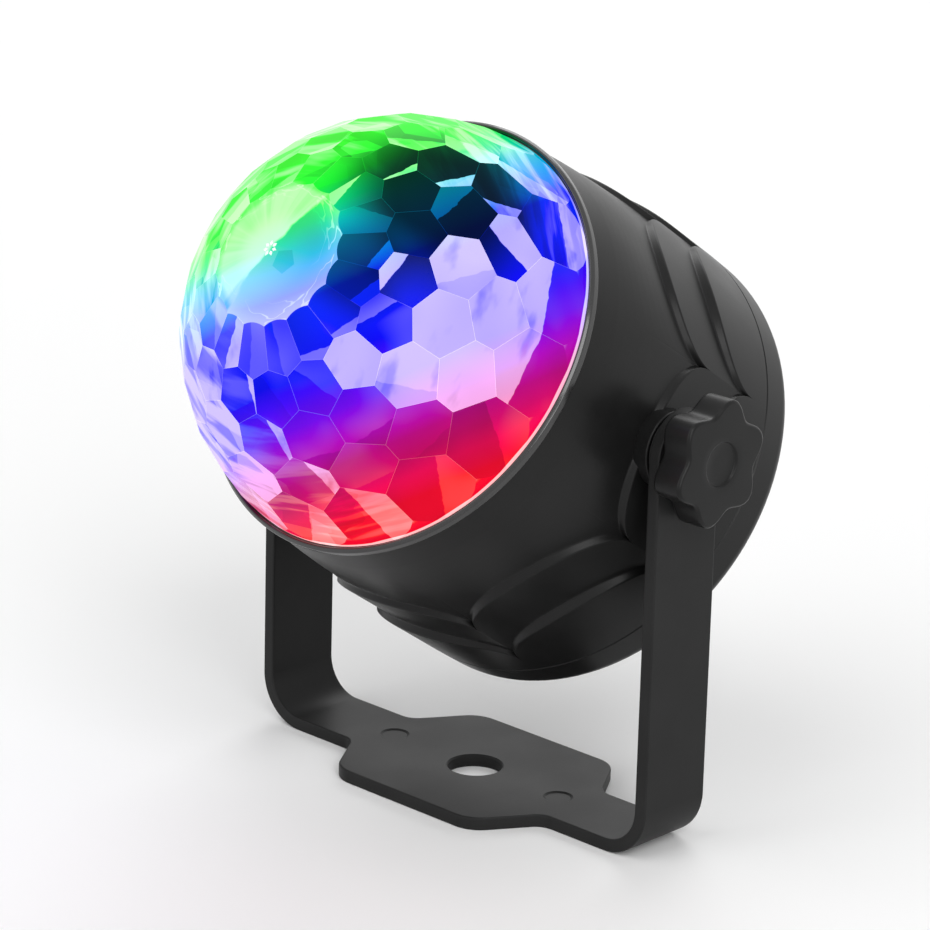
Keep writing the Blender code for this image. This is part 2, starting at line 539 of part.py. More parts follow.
def build_bracket():
    """The U-shaped strip, its wide foot, and the holes for the studs and for fixing it down."""
    top = TILT_AXIS_HEIGHT + ARM_DEPTH / 2
    inner_bend = BEND_RADIUS - BRACKET_THICKNESS
    strip = rounded_outline([
        (-ARM_OUTER, top, 0.0), (-ARM_OUTER, 0.0, BEND_RADIUS),
        (ARM_OUTER, 0.0, BEND_RADIUS), (ARM_OUTER, top, 0.0),
        (ARM_INNER, top, 0.0), (ARM_INNER, BRACKET_THICKNESS, inner_bend),
        (-ARM_INNER, BRACKET_THICKNESS, inner_bend), (-ARM_INNER, top, 0.0),
    ])
    upright = Matrix.Rotation(math.pi / 2, 4, "X")
    bracket = outline_solid("u_bracket", strip, FOOT_DEPTH / 2 + CUT_OVERRUN, BLACK_SATIN, FOOT,
                            axes=upright)

    reach = ARM_OUTER + CUT_OVERRUN
    quarter = [
        (FOOT_ROOT_LENGTH / 2, ARM_DEPTH / 2, FOOT_ROOT_RADIUS),
        (FOOT_LENGTH / 2, FOOT_DEPTH / 2, FOOT_CORNER_RADIUS),
    ]
    plan = [(reach, ARM_DEPTH / 2, 0.0), *quarter]
    plan += [(-x, y, radius) for x, y, radius in reversed(plan)]
    plan += [(-x, -y, radius) for x, y, radius in plan]
    plan_solid = outline_solid("foot_plan", rounded_outline(plan), top + CUT_OVERRUN, None, FOOT)
    boolean(bracket, plan_solid, "INTERSECT")

    shoulder = FOOT_DEPTH / 2 + CUT_OVERRUN
    arm_edge = ARM_DEPTH / 2
    side = rounded_outline([
        (-shoulder, -CUT_OVERRUN, 0.0), (shoulder, -CUT_OVERRUN, 0.0),
        (shoulder, BEND_RADIUS, 0.0), (arm_edge, BEND_RADIUS, 0.0), (arm_edge, top, arm_edge),
        (-arm_edge, top, arm_edge), (-arm_edge, BEND_RADIUS, 0.0), (-shoulder, BEND_RADIUS, 0.0),
    ])
    sideways = Matrix.Rotation(math.pi / 2, 4, "Z") @ Matrix.Rotation(math.pi / 2, 4, "X")
    side_solid = outline_solid("arm_side", side, reach, None, FOOT, axes=sideways)
    boolean(bracket, side_solid, "INTERSECT")

    hole = rod("fixing_hole", FIXING_HOLE_RADIUS, -CUT_OVERRUN, BRACKET_THICKNESS + CUT_OVERRUN,
               MEDIUM_STEPS, None, FOOT)
    boolean(bracket, hole)
    mark_floor = BRACKET_THICKNESS - MOULDING_MARK_DEPTH
    for side_name, offset in (("left", -MOULDING_MARK_OFFSET), ("right", MOULDING_MARK_OFFSET)):
        mark = rod(f"moulding_mark_{side_name}", MOULDING_MARK_RADIUS, mark_floor,
                   BRACKET_THICKNESS + CUT_OVERRUN, SMALL_STEPS, None, FOOT, (offset, 0.0, 0.0))
        boolean(bracket, mark)
    for side_name, pivot in PIVOTS.items():
        stud_hole = rod(f"arm_hole_{side_name}", ARM_HOLE_RADIUS, ARM_INNER - CUT_OVERRUN,
                        ARM_OUTER + CUT_OVERRUN, SMALL_STEPS, None, pivot)
        boolean(bracket, stud_hole)


def facet_planes():
    """The normal and depth of every facet of the dome, ring by ring from the cap to the rim."""
    pitch = 2 * math.pi / FACETS_PER_RING
    planes = []
    for ring, polar in enumerate(FACET_RING_ANGLES):
        if ring + 1 < len(FACET_RING_ANGLES):
            step = FACET_RING_ANGLES[ring + 1] - polar
            half_width = math.sin(FACET_RING_ANGLES[ring + 1]) * pitch / 2
            reach = (step**2 + half_width**2) / (2 * step)
        else:
            reach = FACET_RIM_ANGLE - polar
        depth = DOME_RADIUS * math.cos(reach + FACET_BITE)
        phase = FACET_PHASE + (pitch / 2 if ring % 2 else 0.0)
        for facet in range(FACETS_PER_RING):
            azimuth = phase + facet * pitch
            normal = Vector((
                math.sin(polar) * math.cos(azimuth),
                math.sin(polar) * math.sin(azimuth),
                math.cos(polar),
            ))
            planes.append((normal, depth))
    return planes


def build_dome():
    """The clear dome: a sphere cut to flat facets and hollowed, with a blind boss for the spindle."""
    shape = bmesh.new()
    bmesh.ops.create_uvsphere(shape, u_segments=2 * FACETS_PER_RING, v_segments=DOME_BAND_STEPS,
                              radius=DOME_RADIUS, matrix=Matrix.Rotation(FACET_PHASE, 4, "Z"))
    cuts = facet_planes()
    cuts.append((Vector((0.0, 0.0, -1.0)), DOME_CENTRE - DOME_RIM))
    for normal, depth in cuts:
        everything = shape.verts[:] + shape.edges[:] + shape.faces[:]
        cut = bmesh.ops.bisect_plane(
            shape, geom=everything, dist=MERGE_DISTANCE,
            plane_co=normal * depth, plane_no=normal, clear_outer=True,
        )
        loop = [item for item in cut["geom_cut"] if isinstance(item, bmesh.types.BMEdge)]
        bmesh.ops.edgeloop_fill(shape, edges=loop)
    dome = from_bmesh("dome", shape, CLEAR, HEAD, (0.0, 0.0, DOME_CENTRE))

    boss_end = DOME_BOSS_END - DOME_CENTRE
    boss_root = math.sqrt(DOME_INNER_RADIUS**2 - DOME_BOSS_RADIUS**2)
    rim = DOME_RIM - DOME_CENTRE
    boss_angle = math.asin(DOME_BOSS_RADIUS / DOME_INNER_RADIUS)
    rim_angle = math.acos(rim / DOME_INNER_RADIUS)
    arcs = 2 * ARC_STEPS
    hollow = [(0.0, boss_end), (DOME_BOSS_RADIUS, boss_end), (DOME_BOSS_RADIUS, boss_root)]
    for step in range(1, arcs + 1):
        polar = boss_angle + (rim_angle - boss_angle) * step / arcs
        hollow.append((DOME_INNER_RADIUS * math.sin(polar), DOME_INNER_RADIUS * math.cos(polar)))
    inner_rim = hollow[-1][0]
    hollow += [(inner_rim, rim - CUT_OVERRUN), (0.0, rim - CUT_OVERRUN)]
    boolean(dome, turned("dome_hollow", hollow, MEDIUM_STEPS, None, HEAD, (0.0, 0.0, DOME_CENTRE)))
    bore = rod("dome_bore", SPINDLE_TIP_RADIUS + PRESS_GAP, boss_end - CUT_OVERRUN,
               boss_end + DOME_BORE_LENGTH, SMALL_STEPS, None, HEAD, (0.0, 0.0, DOME_CENTRE))
    boolean(dome, bore)


def build_bezel():
    """The thin ring round the dome, with the spigot that holds it in the housing's mouth."""
    turned("bezel_ring", [
        (BEZEL_RADIUS - BEZEL_CHAMFER, BEZEL_FRONT), (BEZEL_RADIUS, BEZEL_FRONT - BEZEL_CHAMFER),
        (BEZEL_RADIUS, BEZEL_BACK), (SPIGOT_RADIUS, BEZEL_BACK), (SPIGOT_RADIUS, SPIGOT_END),
        (SPIGOT_RADIUS - SPIGOT_WALL, SPIGOT_END), (SPIGOT_RADIUS - SPIGOT_WALL, LIP_FLOOR),
        (BEZEL_LIP_RADIUS, LIP_FLOOR), (BEZEL_LIP_RADIUS, BEZEL_FRONT - BEZEL_LIP_CHAMFER),
        (BEZEL_LIP_RADIUS + BEZEL_LIP_CHAMFER, BEZEL_FRONT),
    ], LARGE_STEPS, BLACK_GLOSS, HEAD)


def collar_radius(distance):
    """Radius of the smooth front collar at a distance behind the bezel's front."""
    along = min(distance / COLLAR_LENGTH, 1.0)
    return COLLAR_RADIUS + COLLAR_GROWTH * (1.0 - (1.0 - along) ** 2)


def housing_rows(parameter):
    """(distance behind the bezel's front, radius) down the outside of one column of the housing.

    The parameter runs from -90 to 90 degrees across one arch. Its sine is the place across the arch, so the
    arch's edge is half an ellipse with a cusp at each end.
    """
    across = math.sin(parameter)
    arch = ARCH_HEIGHT * (1.0 - math.cos(parameter))
    crease = CREASE_DEPTH * (1.0 - across**2)
    front = BEZEL_FRONT - HOUSING_FRONT
    foot_1 = TIER_1_START + arch
    foot_2 = TIER_2_START + arch
    creased_collar = collar_radius(foot_1) + CREASE_DEPTH / 2 - crease
    return [
        (front, collar_radius(front)),
        (CREASE_START, collar_radius(CREASE_START)),
        (foot_1, creased_collar),
        (foot_1 + RISER_RUN, TIER_1_RADIUS - crease),
        (foot_2, TIER_1_RADIUS - crease),
        (foot_2 + RISER_RUN, TIER_2_RADIUS),
        (SEAM_DISTANCE, TIER_2_RADIUS),
    ]


def build_housing():
    """The stepped shell: outer rows that follow the arches, and a turned inside with its ledges."""
    inside = [
        (CAP_SOCKET_RADIUS, SEAM), (CAP_SOCKET_RADIUS, SEAM + CAP_SOCKET_DEPTH),
        (HOUSING_WALL_RADIUS, SEAM + CAP_SOCKET_DEPTH), (HOUSING_WALL_RADIUS, BOARD_LEDGE_BACK),
        (BOARD_LEDGE_RADIUS, BOARD_LEDGE_BACK), (BOARD_LEDGE_RADIUS, BOARD_LEDGE_FRONT),
        (REFLECTOR_SEAT_RADIUS, BOARD_LEDGE_FRONT), (REFLECTOR_SEAT_RADIUS, REFLECTOR_SEAT),
        (HOUSING_MOUTH_RADIUS, REFLECTOR_SEAT), (HOUSING_MOUTH_RADIUS, HOUSING_FRONT),
    ]
    shape = bmesh.new()
    columns = []
    half_arch = math.pi / ARCHES
    for arch in range(ARCHES):
        for step in range(STEPS_PER_ARCH):
            parameter = math.pi * (step / STEPS_PER_ARCH - 0.5)
            angle = 2 * half_arch * arch + half_arch * math.sin(parameter)
            rows = housing_rows(parameter)
            column = [around(radius, angle, BEZEL_FRONT - distance) for distance, radius in rows]
            column += [around(radius, angle, height) for radius, height in inside]
            columns.append([shape.verts.new(point) for point in column])
    for here, there in zip(columns, columns[1:] + columns[:1]):
        for row in range(len(here)):
            below = (row + 1) % len(here)
            shape.faces.new((here[row], here[below], there[below], there[row]))
    housing = from_bmesh("housing_shell", shape, BLACK_SATIN, HEAD, (0.0, 0.0, 0.0))

    for side_name, pivot in PIVOTS.items():
        boss = rod(f"boss_{side_name}", BOSS_RADIUS, BOSS_ROOT, BOSS_END, MEDIUM_STEPS, None, pivot)
        boolean(housing, boss, "UNION")
        insert_back = BOSS_END - INSERT_LENGTH - SEAT_GAP
        pocket = rod(f"insert_pocket_{side_name}", INSERT_RADIUS + PRESS_GAP, insert_back,
                     BOSS_END + CUT_OVERRUN, SMALL_STEPS, None, pivot)
        boolean(housing, pocket)
    for index, angle in enumerate(CAP_SCREW_ANGLES, 1):
        place = around(CAP_SCREW_CIRCLE, angle)
        post = rod(f"cap_post_{index}", CAP_POST_RADIUS, CAP_POST_BACK, CAP_POST_BACK + CAP_POST_LENGTH,
                   SMALL_STEPS, None, HEAD, place)
        boolean(housing, post, "UNION")
        pilot = rod(f"cap_pilot_{index}", SCREW_HOLE_RADIUS, CAP_POST_BACK - CUT_OVERRUN,
                    CAP_POST_BACK + CAP_POST_LENGTH - SCREW_HOLE_RADIUS, SMALL_STEPS, None, HEAD, place)
        boolean(housing, pilot)
    for index, angle in enumerate(BOARD_SCREW_ANGLES, 1):
        place = around(BOARD_SCREW_CIRCLE, angle)
        pilot = rod(f"board_pilot_{index}", SCREW_HOLE_RADIUS, BOARD_LEDGE_BACK - CUT_OVERRUN,
                    BOARD_LEDGE_FRONT + CUT_OVERRUN, SMALL_STEPS, None, HEAD, place)
        boolean(housing, pilot)


def knob_outline(inset):
    """The lobed outline of the knob, drawn in by an inset."""
    count = KNOB_LOBES * KNOB_STEPS_PER_LOBE
    points = []
    for step in range(count):
        angle = 2 * math.pi * step / count
        radius = KNOB_RADIUS - inset + KNOB_LOBE_HEIGHT * math.cos(KNOB_LOBES * (angle - KNOB_PHASE))
        points.append(around(radius, angle))
    return points


def build_knob(side_name, pivot):
    """A lobed knob with chamfered rims, a shallow dish in its face and a bore for its stud."""
    layers = [
        (KNOB_CHAMFER, 0.0), (0.0, KNOB_CHAMFER),
        (0.0, KNOB_THICKNESS - KNOB_CHAMFER), (KNOB_CHAMFER, KNOB_THICKNESS),
    ]
    shape = bmesh.new()
    rings = [[shape.verts.new(point + Vector((0.0, 0.0, height))) for point in knob_outline(inset)]
             for inset, height in layers]
    for lower, upper in zip(rings, rings[1:]):
        for index in range(len(lower)):
            after = (index + 1) % len(lower)
            shape.faces.new((lower[index], lower[after], upper[after], upper[index]))
    shape.faces.new(list(reversed(rings[0])))
    shape.faces.new(rings[-1])
    knob = from_bmesh(f"knob_{side_name}", shape, BLACK_SATIN, pivot, (0.0, 0.0, KNOB_BACK))
    dish = turned(f"knob_dish_{side_name}", disc_profile(
        KNOB_DISH_RADIUS, KNOB_THICKNESS - KNOB_DISH_DEPTH, KNOB_THICKNESS + CUT_OVERRUN,
    ), MEDIUM_STEPS, None, pivot, (0.0, 0.0, KNOB_BACK))
    boolean(knob, dish)
    bore = rod(f"knob_bore_{side_name}", STUD_RADIUS + PRESS_GAP, -CUT_OVERRUN, KNOB_BORE_DEPTH,
               SMALL_STEPS, None, pivot, (0.0, 0.0, KNOB_BACK))
    boolean(knob, bore)


def build_pivots():
    """Both tilt pivots: insert, rubber washer, stud, flat washer and knob, stacked outwards along X."""
    insert_back = BOSS_END - INSERT_LENGTH
    stud_end = KNOB_BACK + KNOB_BORE_DEPTH - SEAT_GAP
    for side_name, pivot in PIVOTS.items():
        turned(f"threaded_insert_{side_name}",
               ring_profile(INSERT_RADIUS, STUD_BORE_RADIUS, insert_back, BOSS_END), SMALL_STEPS, BRASS,
               pivot)
        turned(f"pivot_washer_{side_name}", ring_profile(
            PIVOT_WASHER_RADIUS, ARM_HOLE_RADIUS, BOSS_END + SEAT_GAP, ARM_INNER - SEAT_GAP,
        ), SMALL_STEPS, RUBBER, pivot)
        rod(f"stud_{side_name}", STUD_RADIUS, BOSS_END - STUD_ENGAGEMENT, stud_end, SMALL_STEPS, STEEL,
            pivot)
        washer_outer = KNOB_WASHER_INNER + KNOB_WASHER_THICKNESS
        turned(f"knob_washer_{side_name}", ring_profile(
            KNOB_WASHER_RADIUS, STUD_RADIUS + PRESS_GAP, KNOB_WASHER_INNER, washer_outer,
        ), SMALL_STEPS, STEEL, pivot)
        build_knob(side_name, pivot)


def gear_outline(teeth, first_tooth):
    """Involute outline of a spur gear, with one tooth centred on the angle `first_tooth`."""
    pitch_radius = GEAR_MODULE * teeth / 2
    base_radius = pitch_radius * math.cos(PRESSURE_ANGLE)
    tip_radius = pitch_radius + GEAR_MODULE
    root_radius = pitch_radius - 1.25 * GEAR_MODULE
    start_radius = max(base_radius, root_radius)
    half_tooth = math.pi / (2 * teeth) - BACKLASH / (2 * pitch_radius)

    def involute(radius):
        pressure = math.acos(min(base_radius / radius, 1.0))
        return math.tan(pressure) - pressure

    flank = []
    for step in range(GEAR_FLANK_STEPS):
        radius = start_radius + (tip_radius - start_radius) * step / (GEAR_FLANK_STEPS - 1)
        flank.append((radius, half_tooth + involute(pitch_radius) - involute(radius)))
    points = []
    for tooth in range(teeth):
        centre = first_tooth + 2 * math.pi * tooth / teeth
        left = [(root_radius, flank[0][1])] if root_radius < start_radius else []
        left += flank
        points += [around(radius, centre - half) for radius, half in left]
        points += [around(radius, centre + half) for radius, half in reversed(left)]
    return [(point.x, point.y) for point in points]


def gear_disc(name, teeth, first_tooth, level, width, material, place):
    """A toothed disc between level and level + width, where `place` is its axis."""
    middle = Vector((place.x, place.y, level + width / 2))
    return outline_solid(name, gear_outline(teeth, first_tooth), width / 2, material, HEAD, middle)


def build_gears():
    """The gear train from the motor pinion to the output gear, in mesh at rest."""
    level = GEAR_FLOOR + LARGE_GEAR_LEVEL
    output_level = GEAR_FLOOR + OUTPUT_GEAR_LEVEL
    hub_bottom = GEAR_FLOOR + GEAR_END_PLAY
    hub_top = GEAR_CASE_TOP - GEAR_END_PLAY
    origin = Vector((0.0, 0.0, 0.0))

    output = gear_disc("output_gear", OUTPUT_TEETH, IDLER_DIRECTION, output_level, OUTPUT_GEAR_WIDTH, NYLON,
                       origin)
    hub = rod("output_hub", GEAR_HUB_RADIUS, hub_bottom, hub_top, SMALL_STEPS, None, HEAD)
    boolean(output, hub, "UNION")
    bore = rod("output_bore", OUTPUT_SHAFT_RADIUS + PRESS_GAP, hub_bottom - CUT_OVERRUN,
               hub_top + CUT_OVERRUN, SMALL_STEPS, None, HEAD)
    boolean(output, bore)
    rod("output_shaft", OUTPUT_SHAFT_RADIUS, GEAR_CASE_BACK, OUTPUT_SHAFT_END, SMALL_STEPS, STEEL, HEAD)

    small_tooth = IDLER_DIRECTION + math.pi + math.pi / PINION_TEETH
    idler = gear_disc("idler_gear", IDLER_TEETH, MOTOR_DIRECTION, level, LARGE_GEAR_WIDTH, NYLON,
                      IDLER_PLACE)
    small_bottom = level + LARGE_GEAR_WIDTH / 2
    small_top = output_level + OUTPUT_GEAR_WIDTH + GEAR_END_PLAY
    small = gear_disc("idler_small_gear", PINION_TEETH, small_tooth, small_bottom, small_top - small_bottom,
                      None, IDLER_PLACE)
    boolean(idler, small, "UNION")
    collar = rod("idler_collar", GEAR_HUB_RADIUS - GEAR_MODULE, hub_bottom, hub_top, SMALL_STEPS, None,
                 HEAD, IDLER_PLACE)
    boolean(idler, collar, "UNION")
    idler_bore = rod("idler_bore", IDLER_PIN_RADIUS + RUNNING_GAP, hub_bottom - CUT_OVERRUN,
                     hub_top + CUT_OVERRUN, SMALL_STEPS, None, HEAD, IDLER_PLACE)
    boolean(idler, idler_bore)
    rod("idler_pin", IDLER_PIN_RADIUS, GEAR_CASE_BACK, GEAR_COVER_FRONT, SMALL_STEPS, STEEL, HEAD,
        IDLER_PLACE)

    pinion_tooth = MOTOR_DIRECTION + math.pi + math.pi / PINION_TEETH
    pinion_bottom = level - MOTOR_PINION_OVERHANG
    pinion_width = LARGE_GEAR_WIDTH + 2 * MOTOR_PINION_OVERHANG
    pinion = gear_disc("motor_pinion", PINION_TEETH, pinion_tooth, pinion_bottom, pinion_width, BRASS,
                       MOTOR_PLACE)
    pinion_bore = rod("pinion_bore", MOTOR_SHAFT_RADIUS + PRESS_GAP, pinion_bottom - CUT_OVERRUN,
                      pinion_bottom + pinion_width + CUT_OVERRUN, SMALL_STEPS, None, HEAD, MOTOR_PLACE)
    boolean(pinion, pinion_bore)
    rod("motor_shaft", MOTOR_SHAFT_RADIUS, GEAR_CASE_BACK - SEAT_GAP - MOTOR_SHAFT_DEPTH,
        pinion_bottom + pinion_width, SMALL_STEPS, STEEL, HEAD, MOTOR_PLACE)


def build_gearbox():
    """The gear case with its two screw ears, its cover, the motor behind it and the two screws."""
    centre = GEAR_CASE_CENTRE
    outer = GEAR_CASE_RADIUS + GEAR_CASE_WALL
    case = turned("gear_case", [
        (0.0, GEAR_FLOOR), (GEAR_CASE_RADIUS, GEAR_FLOOR), (GEAR_CASE_RADIUS, GEAR_CASE_TOP),
        (outer, GEAR_CASE_TOP), (outer, GEAR_CASE_BACK), (0.0, GEAR_CASE_BACK),
    ], MEDIUM_STEPS, BLACK_GLOSS, HEAD, centre)
    cover = rod("gear_cover", outer, GEAR_COVER_BACK, GEAR_COVER_FRONT, MEDIUM_STEPS, NYLON, HEAD, centre)
    motor = turned("motor",
                   disc_profile(MOTOR_RADIUS, MOTOR_FACE - MOTOR_LENGTH, MOTOR_FACE, BEZEL_CHAMFER),
                   MEDIUM_STEPS, STEEL, HEAD, MOTOR_PLACE)
    motor_bore = rod("motor_bore", MOTOR_SHAFT_RADIUS + RUNNING_GAP,
                     MOTOR_FACE - MOTOR_SHAFT_DEPTH - SEAT_GAP, MOTOR_FACE + CUT_OVERRUN, SMALL_STEPS, None,
                     HEAD, MOTOR_PLACE)
    boolean(motor, motor_bore)

    for index, sign in enumerate((-1.0, 1.0), 1):
        place = centre + Vector((sign * GEAR_EAR_OFFSET, 0.0, 0.0))
        ear = rod(f"case_ear_{index}", GEAR_EAR_RADIUS, GEAR_CASE_TOP - GEAR_EAR_LENGTH, GEAR_CASE_TOP,
                  SMALL_STEPS, None, HEAD, place)
        boolean(case, ear, "UNION")
        cover_ear = rod(f"cover_ear_{index}", GEAR_EAR_RADIUS, GEAR_COVER_BACK, GEAR_COVER_FRONT,
                        SMALL_STEPS, None, HEAD, place)
        boolean(cover, cover_ear, "UNION")
        hole = rod(f"gear_screw_hole_{index}", SCREW_HOLE_RADIUS,
                   GEAR_CASE_TOP - GEAR_EAR_LENGTH - CUT_OVERRUN, LED_BOARD_FRONT + CUT_OVERRUN,
                   SMALL_STEPS, None, HEAD, place)
        boolean(case, hole)
        boolean(cover, hole)
        screw(f"gear_screw_{index}", GEAR_SCREW_LENGTH, LED_SEAT, HEAD, place)

    shaft_hole = rod("output_shaft_hole", OUTPUT_SHAFT_RADIUS + RUNNING_GAP, GEAR_CASE_BACK - CUT_OVERRUN,
                     GEAR_COVER_FRONT + CUT_OVERRUN, SMALL_STEPS, None, HEAD)
    boolean(case, shaft_hole)
    boolean(cover, shaft_hole)
    pin_hole = rod("idler_pin_hole", IDLER_PIN_RADIUS + PRESS_GAP, GEAR_CASE_BACK - CUT_OVERRUN,
                   GEAR_COVER_FRONT + CUT_OVERRUN, SMALL_STEPS, None, HEAD, IDLER_PLACE)
    boolean(case, pin_hole)
    boolean(cover, pin_hole)
    motor_hole = rod("motor_shaft_hole", MOTOR_SHAFT_RADIUS + RUNNING_GAP, GEAR_CASE_BACK - CUT_OVERRUN,
                     GEAR_FLOOR + CUT_OVERRUN, SMALL_STEPS, None, HEAD, MOTOR_PLACE)
    boolean(case, motor_hole)


def screw(name, length, seat, parent, place, towards_back=False):
    """A pan-head screw whose head rests on `seat` and whose shank runs towards -Z, or +Z from behind."""
    sign = -1.0 if towards_back else 1.0
    head = seat + sign * SCREW_HEAD_HEIGHT
    tip = seat - sign * length
    chamfer = sign * SCREW_HEAD_HEIGHT / 3
    profile = [
        (0.0, head), (SCREW_HEAD_RADIUS - abs(chamfer), head), (SCREW_HEAD_RADIUS, head - chamfer),
        (SCREW_HEAD_RADIUS, seat), (SCREW_SHANK_RADIUS, seat), (SCREW_SHANK_RADIUS, tip), (0.0, tip),
    ]
    if towards_back:
        profile.reverse()
    return turned(name, profile, SCREW_STEPS, STEEL, parent, place)


def build_spindle():
    """The clear spindle: socket on the output shaft below, tip in the dome's boss above."""
    shoulder = DOME_BOSS_END - SEAT_GAP
    tip = DOME_BOSS_END + DOME_BORE_LENGTH - SEAT_GAP
    socket = OUTPUT_SHAFT_RADIUS + PRESS_GAP
    turned("spindle", [
        (0.0, tip), (SPINDLE_TIP_RADIUS, tip), (SPINDLE_TIP_RADIUS, shoulder),
        (SPINDLE_NECK_RADIUS, shoulder), (SPINDLE_ROOT_RADIUS, SPINDLE_START), (socket, SPINDLE_START),
        (socket, SPINDLE_START + SPINDLE_SOCKET_DEPTH), (0.0, SPINDLE_START + SPINDLE_SOCKET_DEPTH),
    ], SMALL_STEPS, CLEAR, HEAD)


def build_light_engine():
    """The LED board on its ledge, three LEDs under their lenses, and the reflector over them."""
    board = rod("led_board", LED_BOARD_RADIUS, LED_BOARD_BACK, LED_BOARD_FRONT, MEDIUM_STEPS, BOARD_WHITE,
                HEAD)
    shaft_hole = rod("led_board_hole", LED_BOARD_HOLE_RADIUS, LED_BOARD_BACK - CUT_OVERRUN,
                     LED_BOARD_FRONT + CUT_OVERRUN, SMALL_STEPS, None, HEAD)
    boolean(board, shaft_hole)
    for index in (1, 2):
        boolean(board, bpy.data.objects[f"gear_screw_hole_{index}"])
    for index, angle in enumerate(BOARD_SCREW_ANGLES, 1):
        place = around(BOARD_SCREW_CIRCLE, angle)
        hole = rod(f"board_screw_hole_{index}", SCREW_HOLE_RADIUS, LED_BOARD_BACK - CUT_OVERRUN,
                   LED_BOARD_FRONT + CUT_OVERRUN, SMALL_STEPS, None, HEAD, place)
        boolean(board, hole)
        screw(f"led_board_screw_{index}", LED_SCREW_LENGTH, LED_SEAT, HEAD, place)

    floor = REFLECTOR_FRONT - REFLECTOR_WALL - REFLECTOR_FLOOR_DROP
    reflector_radius = HOUSING_MOUTH_RADIUS - SEAT_GAP
    dish_edge = SPIGOT_RADIUS - SPIGOT_WALL - SEAT_GAP
    reflector = turned("reflector", [
        (reflector_radius, REFLECTOR_FRONT), (reflector_radius, REFLECTOR_FRONT - REFLECTOR_WALL),
        (dish_edge, REFLECTOR_FRONT - REFLECTOR_WALL), (REFLECTOR_FLOOR_RADIUS, floor),
        (REFLECTOR_HUB_RADIUS, floor), (REFLECTOR_HUB_RADIUS, floor + REFLECTOR_WALL),
        (REFLECTOR_FLOOR_RADIUS, floor + REFLECTOR_WALL), (dish_edge, REFLECTOR_FRONT),
    ], MEDIUM_STEPS, WHITE_PLASTIC, HEAD)

    colours = {"red": LED_RED, "green": LED_GREEN, "blue": LED_BLUE}
    base_top = LED_SEAT + LED_BASE_HEIGHT
    for colour, angle in LED_ANGLES.items():
        place = around(LED_CIRCLE_RADIUS, angle)
        profile = [(0.0, base_top + LED_DOME_RADIUS)]
        for step in range(1, ARC_STEPS):
            polar = math.pi / 2 * step / ARC_STEPS
            across, along = LED_DOME_RADIUS * math.sin(polar), LED_DOME_RADIUS * math.cos(polar)
            profile.append((across, base_top + along))
        profile += [(LED_DOME_RADIUS, base_top), (LED_BASE_RADIUS, base_top), (LED_BASE_RADIUS, LED_SEAT),
                    (0.0, LED_SEAT)]
        turned(f"led_{colour}", profile, SMALL_STEPS, colours[colour], HEAD, place)

        cavity_top = LED_SEAT + LENS_CAVITY_HEIGHT
        turned(f"lens_{colour}", [
            (0.0, LED_SEAT + LENS_HEIGHT), (LENS_MOUTH_RADIUS, LED_SEAT + LENS_HEIGHT),
            (LENS_FOOT_RADIUS, LED_SEAT), (LENS_FOOT_RADIUS - LENS_WALL, LED_SEAT),
            (LED_DOME_RADIUS + LENS_WALL, cavity_top), (0.0, cavity_top),
        ], SMALL_STEPS, CLEAR, HEAD, place)
        opening = rod(f"lens_opening_{colour}", LENS_MOUTH_RADIUS + SEAT_GAP, floor - CUT_OVERRUN,
                      floor + REFLECTOR_WALL + CUT_OVERRUN, SMALL_STEPS, None, HEAD, place)
        boolean(reflector, opening)


